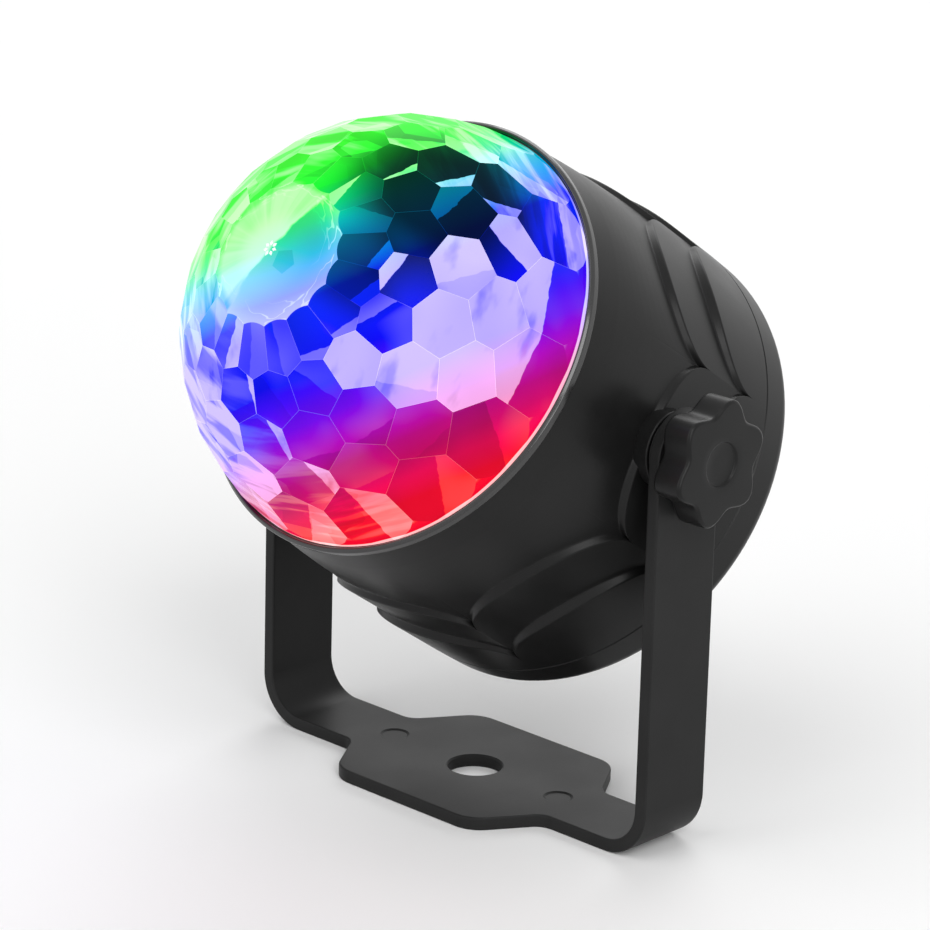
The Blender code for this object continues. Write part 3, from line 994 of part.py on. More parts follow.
def build_rear_cap():
    """The rear cap with its spigot, screw bosses, board standoffs, vents and the openings in its back."""
    corner = CAP_BODY_RADIUS - CAP_EDGE_RADIUS
    profile = [
        (0.0, CAP_FLOOR), (CAP_INNER_RADIUS, CAP_FLOOR), (CAP_INNER_RADIUS, CAP_SPIGOT_END),
        (CAP_SPIGOT_RADIUS, CAP_SPIGOT_END), (CAP_SPIGOT_RADIUS, CAP_FRONT), (TIER_2_RADIUS, CAP_FRONT),
    ]
    for step in range(EDGE_STEPS + 1):
        angle = math.pi / 2 * step / EDGE_STEPS
        profile.append((corner + CAP_EDGE_RADIUS * math.cos(angle),
                        CAP_BACK + CAP_EDGE_RADIUS * (1.0 - math.sin(angle))))
    profile.append((0.0, CAP_BACK))
    cap = turned("rear_cap", profile, LARGE_STEPS, BLACK_SATIN, HEAD)

    head_recess = SCREW_HEAD_RADIUS + SEAT_GAP
    recess_floor = CAP_BACK + SCREW_HEAD_HEIGHT
    for index, angle in enumerate(CAP_SCREW_ANGLES, 1):
        place = around(CAP_SCREW_CIRCLE, angle)
        boss = rod(f"cap_boss_{index}", CAP_BOSS_RADIUS, CAP_FLOOR - CAP_WALL / 2, CAP_SPIGOT_END,
                   SMALL_STEPS, None, HEAD, place)
        boolean(cap, boss, "UNION")
        hole = rod(f"cap_hole_{index}", SCREW_HOLE_RADIUS, CAP_BACK - CUT_OVERRUN,
                   CAP_SPIGOT_END + CUT_OVERRUN, SMALL_STEPS, None, HEAD, place)
        boolean(cap, hole)
        recess = rod(f"cap_recess_{index}", head_recess, CAP_BACK - CUT_OVERRUN, recess_floor, SMALL_STEPS,
                     None, HEAD, place)
        boolean(cap, recess)
        screw(f"rear_cap_screw_{index}", CAP_SCREW_LENGTH, recess_floor - SEAT_GAP, HEAD, place,
              towards_back=True)

    slots = bmesh.new()
    for slot in range(VENT_SLOTS):
        across = (slot - (VENT_SLOTS - 1) / 2) * VENT_PITCH
        size = Matrix.Diagonal((VENT_WIDTH, VENT_LENGTH, CAP_WALL + 2 * CUT_OVERRUN, 1.0))
        place = Matrix.Translation((across, -VENT_CENTRE_DROP, CAP_BACK + CAP_WALL / 2))
        bmesh.ops.create_cube(slots, size=1.0, matrix=place @ size)
    boolean(cap, from_bmesh("vent_slots", slots, None, HEAD, (0.0, 0.0, 0.0)))
    openings = {
        "grommet_hole": (GROMMET_HOLE_RADIUS + PRESS_GAP, Vector((0.0, -GROMMET_DROP, 0.0))),
        "microphone_hole": (MICROPHONE_HOLE_RADIUS, MICROPHONE_PLACE),
        "receiver_window": (RECEIVER_WINDOW_RADIUS, RECEIVER_PLACE),
    }
    for name, (radius, place) in openings.items():
        opening = rod(name, radius, CAP_BACK - CUT_OVERRUN, CAP_FLOOR + CUT_OVERRUN, SMALL_STEPS, None,
                      HEAD, place)
        boolean(cap, opening)
    for index, sign in enumerate((-1.0, 1.0), 1):
        place = Vector((sign * STANDOFF_OFFSET, MAIN_BOARD_RISE, 0.0))
        standoff = rod(f"standoff_{index}", STANDOFF_RADIUS, CAP_FLOOR - CAP_WALL / 2,
                       CAP_FLOOR + BOARD_STANDOFF, SMALL_STEPS, None, HEAD, place)
        boolean(cap, standoff, "UNION")
        pilot = rod(f"standoff_pilot_{index}", SCREW_HOLE_RADIUS, CAP_FLOOR - SEAT_GAP,
                    MAIN_BOARD_FRONT + CUT_OVERRUN, SMALL_STEPS, None, HEAD, place)
        boolean(cap, pilot)

    turned("cord_grommet", [
        (GROMMET_FLANGE_RADIUS, CAP_FLOOR + SEAT_GAP + GROMMET_FLANGE_THICKNESS),
        (GROMMET_FLANGE_RADIUS, CAP_FLOOR + SEAT_GAP), (GROMMET_HOLE_RADIUS, CAP_FLOOR + SEAT_GAP),
        (GROMMET_HOLE_RADIUS, CAP_BACK - SEAT_GAP), (GROMMET_NOSE_RADIUS, CAP_BACK - SEAT_GAP),
        (GROMMET_NOSE_RADIUS - GROMMET_FLANGE_THICKNESS / 2, CAP_BACK - SEAT_GAP - GROMMET_NOSE_LENGTH),
        (GROMMET_BORE_RADIUS, CAP_BACK - SEAT_GAP - GROMMET_NOSE_LENGTH),
        (GROMMET_BORE_RADIUS, CAP_FLOOR + SEAT_GAP + GROMMET_FLANGE_THICKNESS),
    ], SMALL_STEPS, RUBBER, HEAD, Vector((0.0, -GROMMET_DROP, 0.0)))


def build_electronics():
    """The main board on the rear cap's standoffs, with its parts on both faces."""
    board_middle = Vector((0.0, MAIN_BOARD_RISE, MAIN_BOARD_BACK + MAIN_BOARD_SIZE.z / 2))
    board = block("main_board", MAIN_BOARD_SIZE, board_middle, BOARD_GREEN, HEAD)
    front_seat = MAIN_BOARD_FRONT + SEAT_GAP
    back_seat = MAIN_BOARD_BACK - SEAT_GAP
    for index, sign in enumerate((-1.0, 1.0), 1):
        place = Vector((sign * STANDOFF_OFFSET, MAIN_BOARD_RISE, 0.0))
        boolean(board, bpy.data.objects[f"standoff_pilot_{index}"])
        screw(f"main_board_screw_{index}", MAIN_SCREW_LENGTH, front_seat, HEAD, place)
    transformer_place = TRANSFORMER_PLACE + Vector((0.0, 0.0, front_seat + TRANSFORMER_SIZE.z / 2))
    block("transformer", TRANSFORMER_SIZE, transformer_place, COIL_CASE, HEAD)
    turned("capacitor", disc_profile(CAPACITOR_RADIUS, front_seat, front_seat + CAPACITOR_HEIGHT, SEAT_GAP),
           SMALL_STEPS, SLEEVE, HEAD, CAPACITOR_PLACE)
    rod("microphone", MICROPHONE_RADIUS, CAP_FLOOR + SEAT_GAP, back_seat, SMALL_STEPS, STEEL, HEAD,
        MICROPHONE_PLACE)
    receiver_place = RECEIVER_PLACE + Vector((0.0, 0.0, back_seat - RECEIVER_SIZE.z / 2))
    block("remote_receiver", RECEIVER_SIZE, receiver_place, BLACK_GLOSS, HEAD)


def merge_flat_faces():
    """Join the coplanar faces that the cuts leave, as the last step of every cut piece."""
    for obj in PARTS.objects:
        if any(modifier.type == "BOOLEAN" for modifier in obj.modifiers):
            flat = obj.modifiers.new("flat_faces", "DECIMATE")
            flat.decimate_type = "DISSOLVE"
            flat.angle_limit = FLAT_ANGLE


def main():
    build_bracket()
    build_dome()
    build_bezel()
    build_housing()
    build_pivots()
    build_gearbox()
    build_gears()
    build_spindle()
    build_light_engine()
    build_rear_cap()
    build_electronics()
    merge_flat_faces()
    bpy.context.view_layer.update()


main()
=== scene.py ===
"""Looks of an LED disco ball light: a clear faceted dome lit from inside, in a black housing on a bracket."""

import functools
import json
import logging
import math
import random
from dataclasses import dataclass, field
from enum import Enum
from typing import Optional, Sequence

import bmesh
import bpy
from mathutils import Matrix, Vector


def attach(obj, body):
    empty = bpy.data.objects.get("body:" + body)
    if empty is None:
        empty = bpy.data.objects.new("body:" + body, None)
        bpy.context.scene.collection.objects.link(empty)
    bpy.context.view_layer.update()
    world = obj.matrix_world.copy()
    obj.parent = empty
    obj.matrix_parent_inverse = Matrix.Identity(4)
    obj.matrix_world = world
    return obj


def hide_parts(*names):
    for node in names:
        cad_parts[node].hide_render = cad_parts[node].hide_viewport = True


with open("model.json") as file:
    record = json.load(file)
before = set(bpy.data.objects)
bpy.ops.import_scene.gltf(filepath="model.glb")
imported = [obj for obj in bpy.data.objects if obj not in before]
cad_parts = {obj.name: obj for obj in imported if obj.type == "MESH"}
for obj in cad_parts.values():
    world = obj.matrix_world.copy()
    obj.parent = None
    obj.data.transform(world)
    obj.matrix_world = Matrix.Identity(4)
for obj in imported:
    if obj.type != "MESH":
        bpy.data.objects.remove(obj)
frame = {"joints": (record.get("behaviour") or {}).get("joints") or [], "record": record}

log = logging.getLogger("disco_ball_light")

Profile = list[tuple[float, float]]
Span = tuple[float, float]
Colour = tuple[float, float, float]
Direction = tuple[float, float, float]
Socket = bpy.types.NodeSocket

MM = 0.001
FULL_TURN = 2 * math.pi
QUARTER_TURN = math.pi / 2

# A cutter reaches this far past the skin that it cuts
OVERRUN = 1.0 * MM
# Lengths below this count as none
TOUCHING = MM / 1000
# Points that lie closer to a surface than this are on it
ON_SURFACE = MM / 100
# Segments of a rounded edge, and round a small hole, a boss and a large hole
EDGE_STEPS = 4
SMALL_STEPS = 40
BOSS_STEPS = 48
LARGE_STEPS = 64
# Edges steeper than this many degrees stay sharp
SHARP = 40.0
# The middle of a noise that runs from 0 to 1
NOISE_MIDDLE = 0.5
# Factors that drop a vector's height
FLAT = (1.0, 1.0, 0.0)
# Corners of a cut that lie closer together than this are one corner
SAME_POINT = 0.0005 * MM
# The rounding of a corner takes no more than this share of each side
ROUNDING_SHARE = 0.45
# Normals whose product is above this point the same way
PARALLEL = 0.9999
# A face whose normal is lower than this faces down
FACING_DOWN = -0.99


class Side(Enum):
    """The two ends of the tilt axis."""

    RIGHT = 1
    LEFT = -1


class Pattern(Enum):
    """The ways in which a repeated shape is laid out."""

    ROW = "row"
    CIRCLE = "circle"


def joint(name: str) -> dict:
    """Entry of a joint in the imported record."""
    return next(entry for entry in frame["joints"] if entry["name"] == name)


def head_frame() -> Matrix:
    """Work out the head's frame: origin on the tilt axis, Z out of the dome, X along the tilt axis.

    Returns:
        The frame's matrix.
    """
    spin = joint("dome_spin")
    forward = Vector(spin["axis"]).normalized()
    across = Vector((1.0, 0.0, 0.0))
    upward = forward.cross(across)
    turn = Matrix((across, upward, forward)).transposed().to_4x4()
    return Matrix.Translation(Vector(spin["pos_m"])) @ turn


def pivot_frame(side: Side) -> Matrix:
    """Frame of one tilt pivot: origin on the middle of the tilt axis, Z outwards along it."""
    turn = Matrix.Rotation(side.value * QUARTER_TURN, 4, "Y")
    return Matrix.Translation(Vector(joint("head_tilt")["pos_m"])) @ turn


HEAD = head_frame()
FOOT = Matrix.Translation((0.0, joint("head_tilt")["pos_m"][1], 0.0))


# Mesh tools


def in_mm(*points: tuple[float, float]) -> Profile:
    """A profile from points in millimetres."""
    return [(first * MM, second * MM) for first, second in points]


def around(radius: float, angle: float, height: float = 0.0) -> Vector:
    """Point at a radius, angle and height."""
    return Vector((radius * math.cos(angle), radius * math.sin(angle), height))


def circle(radius: float, height: float, steps: int) -> list[Vector]:
    """Points round the axis at a radius and height."""
    return [around(radius, FULL_TURN * step / steps, height) for step in range(steps)]


def quarter(steps: int) -> list[float]:
    """Angles from 0 to a quarter turn, both included."""
    return [QUARTER_TURN * step / steps for step in range(steps + 1)]


def share_between(value: float, limits: Span) -> float:
    """Place of a value between two limits, from 0 to 1."""
    return max(0.0, min(1.0, (value - limits[0]) / (limits[1] - limits[0])))


def softened(points: Sequence[tuple[float, float]], reach: float, steps: int = EDGE_STEPS,
             closed: bool = False) -> Profile:
    """Round the corners of a polyline.

    Args:
        points: The polyline.
        reach: How far from a corner its rounding starts.
        steps: Segments in each rounding.
        closed: Whether the last point joins the first.

    Returns:
        The rounded polyline, with the same count of points for any shape of the same length.
    """
    count = len(points)
    rounded: Profile = []
    for index, point in enumerate(points):
        if not closed and index in (0, count - 1):
            rounded.append(tuple(point))
            continue
        corner = Vector(point)
        before = Vector(points[index - 1]) - corner
        after = Vector(points[(index + 1) % count]) - corner
        start = corner + before.normalized() * min(reach, before.length * ROUNDING_SHARE)
        end = corner + after.normalized() * min(reach, after.length * ROUNDING_SHARE)
        for step in range(steps + 1):
            t = step / steps
            rounded.append(tuple((1 - t) ** 2 * start + 2 * t * (1 - t) * corner + t * t * end))
    return rounded


def skin_between(shape: bmesh.types.BMesh, lower: Sequence[bmesh.types.BMVert],
                 upper: Sequence[bmesh.types.BMVert]) -> None:
    """Join two closed rings of vertices with faces.

    Args:
        shape: The surface that they belong to.
        lower: One ring.
        upper: The other ring, with the same count of vertices.
    """
    for index in range(len(lower)):
        after = (index + 1) % len(lower)
        shape.faces.new((lower[index], lower[after], upper[after], upper[index]))


def loft(rings: Sequence[Sequence[Vector]], wrap: bool = False, caps: bool = True) -> bmesh.types.BMesh:
    """Join closed rings of points into one surface.

    Args:
        rings: Rings with the same count of points.
        wrap: Whether the last ring joins the first, which closes the surface.
        caps: Whether the first and last rings are filled.

    Returns:
        The surface, with its normals outwards.
    """
    shape = bmesh.new()
    rows = [[shape.verts.new(point) for point in ring] for ring in rings]
    pairs = list(zip(rows, rows[1:])) + ([(rows[-1], rows[0])] if wrap else [])
    for lower, upper in pairs:
        skin_between(shape, lower, upper)
    if caps and not wrap:
        shape.faces.new(list(reversed(rows[0])))
        shape.faces.new(rows[-1])
    bmesh.ops.recalc_face_normals(shape, faces=shape.faces)
    return shape


def lathe(profile: Sequence[tuple[float, float]], steps: int) -> bmesh.types.BMesh:
    """Turn a (radius, height) profile about Z. A profile that starts and ends on the axis is closed there.

    Args:
        profile: The profile.
        steps: Segments round the axis.

    Returns:
        The turned surface.
    """
    open_ends = profile[0][0] <= TOUCHING and profile[-1][0] <= TOUCHING
    rings = [circle(radius, height, steps) for radius, height in profile if radius > TOUCHING]
    shape = loft(rings, wrap=not open_ends, caps=False)
    if open_ends:
        shape.verts.ensure_lookup_table()
        ends = [shape.verts[:steps], shape.verts[-steps:]]
        for ring, height in zip(ends, (profile[0][1], profile[-1][1])):
            pole = shape.verts.new((0.0, 0.0, height))
            for index, vertex in enumerate(ring):
                shape.faces.new((vertex, ring[(index + 1) % steps], pole))
        bmesh.ops.recalc_face_normals(shape, faces=shape.faces)
    return shape


def make_piece(name: str, shape: bmesh.types.BMesh, place: Matrix, material: Optional[bpy.types.Material],
               sharp: float = SHARP) -> bpy.types.Object:
    """Turn a surface into a piece whose place is in its mesh.

    Args:
        name: The piece's name.
        shape: The surface, which is freed.
        place: The frame that the surface was drawn in.
        material: The finish.
        sharp: Edges steeper than this many degrees stay sharp.

    Returns:
        The new object.
    """
    mesh = bpy.data.meshes.new(name)
    shape.to_mesh(mesh)
    shape.free()
    mesh.transform(place)
    mesh.shade_smooth()
    mesh.set_sharp_from_angle(angle=math.radians(sharp))
    if material is not None:
        mesh.materials.append(material)
    return place_object(name, mesh)


def place_object(name: str, data: Optional[bpy.types.ID]) -> bpy.types.Object:
    """Put an object with its data into the scene.

    Args:
        name: The object's name.
        data: Its mesh, lamp or camera.

    Returns:
        The new object.
    """
    placed = bpy.data.objects.new(name, data)
    bpy.context.scene.collection.objects.link(placed)
    return placed


def settle(piece: bpy.types.Object) -> None:
    """Turn a piece's evaluated shape into its own plain mesh, and remove its modifiers.

    Args:
        piece: The object with modifiers.
    """
    graph = bpy.context.evaluated_depsgraph_get()
    shaped = piece.evaluated_get(graph)
    mesh = bpy.data.meshes.new_from_object(shaped, preserve_all_data_layers=True, depsgraph=graph)
    piece.modifiers.clear()
    piece.data = mesh


def combine(piece: bpy.types.Object, others: Sequence[bpy.types.Object], operation: str) -> None:
    """Join shapes to a piece or cut them out of it, and remove them.

    Args:
        piece: The piece.
        others: Closed shapes, in the same frame.
        operation: UNION to join, or DIFFERENCE to cut.
    """
    for other in others:
        modifier = piece.modifiers.new(other.name, "BOOLEAN")
        modifier.operation = operation
        modifier.object = other
        modifier.solver = "EXACT"
    settle(piece)
    for other in others:
        bpy.data.objects.remove(other, do_unlink=True)


def cut(piece: bpy.types.Object, cutters: Sequence[bpy.types.Object], sharp: float = SHARP) -> None:
    """Cut shapes out of a piece, and drop the faces without area that a cut can leave.

    Args:
        piece: The piece.
        cutters: Closed shapes, in the same frame.
        sharp: Edges steeper than this many degrees stay sharp.
    """
    combine(piece, cutters, "DIFFERENCE")
    shape = bmesh.new()
    shape.from_mesh(piece.data)
    bmesh.ops.dissolve_degenerate(shape, dist=SAME_POINT, edges=shape.edges)
    shape.to_mesh(piece.data)
    shape.free()
    piece.data.shade_smooth()
    piece.data.set_sharp_from_angle(angle=math.radians(sharp))


def hand_over(piece: bpy.types.Object, body: str, *nodes: str) -> None:
    """Even out the shading of a finished piece's flat faces, hide the nodes that it replaces, and attach it
    to its body.

    Args:
        piece: The piece, in its place.
        body: The moving body that it rides.
        nodes: The model's nodes that it replaces.
    """
    even = piece.modifiers.new("even_normals", "WEIGHTED_NORMAL")
    even.keep_sharp = True
    settle(piece)
    if nodes:
        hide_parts(*nodes)
    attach(piece, body)
    log.info("%s: %d faces", piece.name, len(piece.data.polygons))


# Node tools


class Wiring:
    """Short ways to add and link the nodes of one tree. A value given to them is a socket or a constant."""

    def __init__(self, tree: bpy.types.NodeTree) -> None:
        """Keep the tree."""
        self.tree = tree

    def put(self, value: object, socket: Socket) -> None:
        """Feed a socket with another socket, or set its value.

        Args:
            value: The socket or the constant that comes in.
            socket: The input.
        """
        if isinstance(value, Socket):
            self.tree.links.new(value, socket)
        else:
            socket.default_value = value

    def fill(self, node: bpy.types.Node, inputs: dict[object, object]) -> None:
        """Feed several inputs of a node, given by name or place."""
        for key, value in inputs.items():
            self.put(value, node.inputs[key])

    def node(self, kind: str, inputs: Optional[dict[object, object]] = None,
             **settings: object) -> bpy.types.Node:
        """Add a node.

        Args:
            kind: The node's type.
            inputs: What comes in, by the input's name or place.
            settings: The node's own properties, by name.

        Returns:
            The node.
        """
        node = self.tree.nodes.new(kind)
        for name, value in settings.items():
            setattr(node, name, value)
        self.fill(node, inputs or {})
        return node

    def math(self, operation: str, *values: object) -> Socket:
        """Number from a Math node."""
        return self.node("ShaderNodeMath", dict(enumerate(values)), operation=operation).outputs[0]

    def total(self, first: object, *others: object) -> Socket:
        """Sum of several numbers."""
        return functools.reduce(functools.partial(self.math, "ADD"), others, first)

    def vector(self, operation: str, *values: object) -> Socket:
        """Vector, or the number of a dot product or a length, from a Vector Math node."""
        node = self.node("ShaderNodeVectorMath", dict(enumerate(values)), operation=operation)
        return node.outputs["Value" if operation in ("DOT_PRODUCT", "LENGTH") else "Vector"]

    def scaled(self, vector: object, factor: object) -> Socket:
        """Vector times a number."""
        return self.node("ShaderNodeVectorMath", {0: vector, "Scale": factor}, operation="SCALE").outputs[0]

    def ramp(self, value: object, low: float, high: float, to_low: float = 0.0, to_high: float = 1.0,
             kind: str = "SMOOTHSTEP") -> Socket:
        """Value whose range from low to high becomes the range from to_low to to_high, with no overshoot."""
        inputs = {"Value": value, "From Min": low, "From Max": high, "To Min": to_low, "To Max": to_high}
        return self.node("ShaderNodeMapRange", inputs, interpolation_type=kind).outputs["Result"]

    def mix(self, share: object, first: object, second: object) -> Socket:
        """Mix of two colours."""
        return self.node("ShaderNodeMix", {0: share, 6: first, 7: second}, data_type="RGBA").outputs[2]

    def choose(self, share: object, first: object, second: object) -> Socket:
        """Mix of two numbers."""
        return self.node("ShaderNodeMix", {0: share, 2: first, 3: second}, data_type="FLOAT").outputs[0]

    def stored(self, name: str, output: str = "Fac") -> Socket:
        """What the piece's mesh stores under a name: a number, or with the output Vector a vector."""
        return self.node("ShaderNodeAttribute", attribute_name=name).outputs[output]

    def noise(self, place: object, scale: float, detail: float = 2.0) -> Socket:
        """Soft noise from 0 to 1."""
        return self.node("ShaderNodeTexNoise", {"Vector": place, "Scale": scale, "Detail": detail}).outputs[0]

    def part(self, place: object, axis: str) -> Socket:
        """X, Y or Z part of a vector."""
        return self.node("ShaderNodeSeparateXYZ", {0: place}).outputs[axis]

    def turn(self, angle: object) -> Socket:
        """Rotation about Z."""
        return self.node("ShaderNodeCombineXYZ", {"Z": angle}).outputs[0]


@dataclass
class Repeater:
    """A Geometry Nodes tree that lays out copies of a shape, and joins or cuts them."""

    pattern: Pattern
    subtract: bool = False
    tree: bpy.types.NodeTree = field(init=False)
    sockets: dict[str, str] = field(init=False, default_factory=dict)

    def __post_init__(self) -> None:
        """Build the tree: copies on points, turned to the start angle, then joined or cut, then finished."""
        self.tree = bpy.data.node_groups.new(f"copies_in_a_{self.pattern.value}", "GeometryNodeTree")
        for name, kind in (("Geometry", "Geometry"), ("Copied Shape", "Object"), ("Count", "Int"),
                           ("Spacing", "Float"), ("Start Angle", "Float"), ("Finish", "Material")):
            socket = self.tree.interface.new_socket(name, in_out="INPUT", socket_type=f"NodeSocket{kind}")
            self.sockets[name] = socket.identifier
        self.tree.interface.new_socket("Geometry", in_out="OUTPUT", socket_type="NodeSocketGeometry")
        wiring = Wiring(self.tree)
        given = wiring.node("NodeGroupInput").outputs
        shape = wiring.node("GeometryNodeObjectInfo", {"Object": given["Copied Shape"]})
        copies = wiring.node("GeometryNodeInstanceOnPoints", {
            "Instance": shape.outputs["Geometry"], **self._points(wiring, given)})
        turned = wiring.node("GeometryNodeTransform", {
            "Geometry": copies.outputs[0], "Rotation": wiring.turn(given["Start Angle"])})
        real = wiring.node("GeometryNodeRealizeInstances", {"Geometry": turned.outputs[0]})
        if self.subtract:
            both = {"Mesh 1": given["Geometry"], "Mesh 2": real.outputs[0]}
            whole = wiring.node("GeometryNodeMeshBoolean", both, operation="DIFFERENCE", solver="EXACT")
        else:
            whole = wiring.node("GeometryNodeJoinGeometry", {"Geometry": given["Geometry"]})
            wiring.put(real.outputs[0], whole.inputs["Geometry"])
        finish = wiring.node("GeometryNodeSetMaterial", {
            "Geometry": whole.outputs[0], "Material": given["Finish"]})
        wiring.node("NodeGroupOutput", {"Geometry": finish.outputs[0]})

    def _points(self, wiring: Wiring, given: bpy.types.NodeOutputs) -> dict[str, Socket]:
        """Lay out the points that carry the copies.

        Args:
            wiring: The tree's nodes.
            given: The tree's inputs.

        Returns:
            What the node that puts a copy on each point needs.
        """
        if self.pattern is Pattern.ROW:
            offset = wiring.node("ShaderNodeCombineXYZ", {"X": given["Spacing"]}).outputs[0]
            points = wiring.node("GeometryNodeMeshLine", {"Offset": offset, "Count": given["Count"]})
            return {"Points": points.outputs["Mesh"]}
        points = wiring.node("GeometryNodeMeshCircle", {
            "Radius": given["Spacing"], "Vertices": given["Count"]})
        index = wiring.node("GeometryNodeInputIndex").outputs["Index"]
        angle = wiring.math("MULTIPLY", wiring.math("DIVIDE", index, given["Count"]), FULL_TURN)
        return {"Points": points.outputs["Mesh"], "Rotation": wiring.turn(angle)}

    def apply(self, piece: bpy.types.Object, shape: bpy.types.Object, count: int, spacing: float,
              start: float, finish: bpy.types.Material) -> None:
        """Lay out the copies on a piece, and turn the result into a plain mesh.

        Args:
            piece: The piece that the copies join or cut, drawn in its own frame.
            shape: The copied shape, which is removed.
            count: How many copies.
            spacing: The distance between copies in a row, or the circle's radius.
            start: The angle of the first copy, in radians.
            finish: The material of the result.
        """
        modifier = piece.modifiers.new("copies", "NODES")
        modifier.node_group = self.tree
        for name, value in (("Copied Shape", shape), ("Count", count), ("Spacing", spacing),
                            ("Start Angle", start), ("Finish", finish)):
            modifier[self.sockets[name]] = value
        settle(piece)
        bpy.data.objects.remove(shape, do_unlink=True)


# Finishes


def rgba(colour: Colour) -> tuple[float, float, float, float]:
    """A colour with full alpha."""
    return (*colour, 1.0)


def new_material(name: str) -> tuple[bpy.types.Material, Wiring, bpy.types.Node]:
    """Start a material.

    Args:
        name: Its name.

    Returns:
        The material, the wiring of its nodes, and its shader.
    """
    material = bpy.data.materials.new(name)
    material.use_nodes = True
    return material, Wiring(material.node_tree), material.node_tree.nodes["Principled BSDF"]


# The tone of a plastic skin: the share of its soft clouds, the rest being specks, and how both are drawn
CLOUD_SHARE = 0.7
CLOUD_LIMITS = (0.3, 0.7)
CLOUD_DETAIL = 4.0
SPECK_REACH = 0.6
GRAIN_DETAIL = 3.0


def grain_group() -> bpy.types.NodeTree:
    """Build the node group for the fine skin of moulded plastic once: its tone and its height.

    Returns:
        The node group.
    """
    existing = bpy.data.node_groups.get("moulded_grain")
    if existing:
        return existing
    tree = bpy.data.node_groups.new("moulded_grain", "ShaderNodeTree")
    for name, way, kind in (("Position", "INPUT", "Vector"), ("Grain Scale", "INPUT", "Float"),
                            ("Cloud Scale", "INPUT", "Float"), ("Tone", "OUTPUT", "Float"),
                            ("Height", "OUTPUT", "Float")):
        tree.interface.new_socket(name, in_out=way, socket_type=f"NodeSocket{kind}")
    wiring = Wiring(tree)
    given = wiring.node("NodeGroupInput").outputs
    place, grain = given["Position"], given["Grain Scale"]
    cloud = wiring.noise(place, given["Cloud Scale"], CLOUD_DETAIL)
    cloud = wiring.ramp(cloud, *CLOUD_LIMITS, 0.0, CLOUD_SHARE)
    speck = wiring.node("ShaderNodeTexVoronoi", {"Vector": place, "Scale": grain}).outputs["Distance"]
    speck = wiring.ramp(speck, 0.0, SPECK_REACH, 1.0 - CLOUD_SHARE, 0.0)
    wiring.node("NodeGroupOutput", {"Tone": wiring.total(cloud, speck),
                                    "Height": wiring.noise(place, grain, GRAIN_DETAIL)})
    return tree


@dataclass(frozen=True)
class SkinFinish:
    """A moulded, painted, rubber or metal skin with fine grain."""

    name: str
    dark: Colour
    light: Colour
    rough: tuple[float, float]
    metallic: float = 0.0
    grain: float = 2200.0
    cloud: float = 60.0
    depth: float = 0.02 * MM
    strength: float = 0.35
    gloss: float = 0.5

    def material(self) -> bpy.types.Material:
        """Build the material once.

        Returns:
            The material.
        """
        existing = bpy.data.materials.get(self.name)
        if existing:
            return existing
        material, wiring, shader = new_material(self.name)
        place = wiring.node("ShaderNodeTexCoord").outputs["Object"]
        skin = wiring.node("ShaderNodeGroup", node_tree=grain_group())
        wiring.fill(skin, {"Position": place, "Grain Scale": self.grain, "Cloud Scale": self.cloud})
        tone = skin.outputs["Tone"]
        bump = wiring.node("ShaderNodeBump", {"Strength": self.strength, "Distance": self.depth,
                                              "Height": skin.outputs["Height"]})
        wiring.fill(shader, {"Base Color": wiring.mix(tone, rgba(self.dark), rgba(self.light)),
                             "Roughness": wiring.ramp(tone, 0.0, 1.0, *self.rough, "LINEAR"),
                             "Normal": bump.outputs["Normal"], "Metallic": self.metallic,
                             "Specular IOR Level": self.gloss})
        return material


BLACK_SATIN = SkinFinish("black_satin_plastic", (0.007, 0.007, 0.007), (0.011, 0.011, 0.011), (0.3, 0.38),
                         strength=0.18, gloss=0.17)
BLACK_BRACKET = SkinFinish("black_bracket_plastic", (0.013, 0.013, 0.013), (0.018, 0.018, 0.018),
                           (0.42, 0.52), strength=0.25, gloss=0.12)
BLACK_GLOSS = SkinFinish("black_gloss_plastic", (0.014, 0.014, 0.014), (0.02, 0.02, 0.02), (0.13, 0.18),
                         strength=0.1, gloss=0.6)
BLACK_RUBBER = SkinFinish("black_rubber", (0.012, 0.012, 0.012), (0.022, 0.022, 0.022), (0.6, 0.75))
STEEL = SkinFinish("bright_steel", (0.5, 0.5, 0.51), (0.68, 0.68, 0.69), (0.24, 0.38), metallic=1.0)
WHITE_SATIN = SkinFinish("white_satin_plastic", (0.76, 0.77, 0.78), (0.86, 0.87, 0.88), (0.35, 0.5))
FROSTED = SkinFinish("frosted_star", (0.8, 0.95, 0.88), (0.95, 1.0, 0.97), (0.4, 0.5))

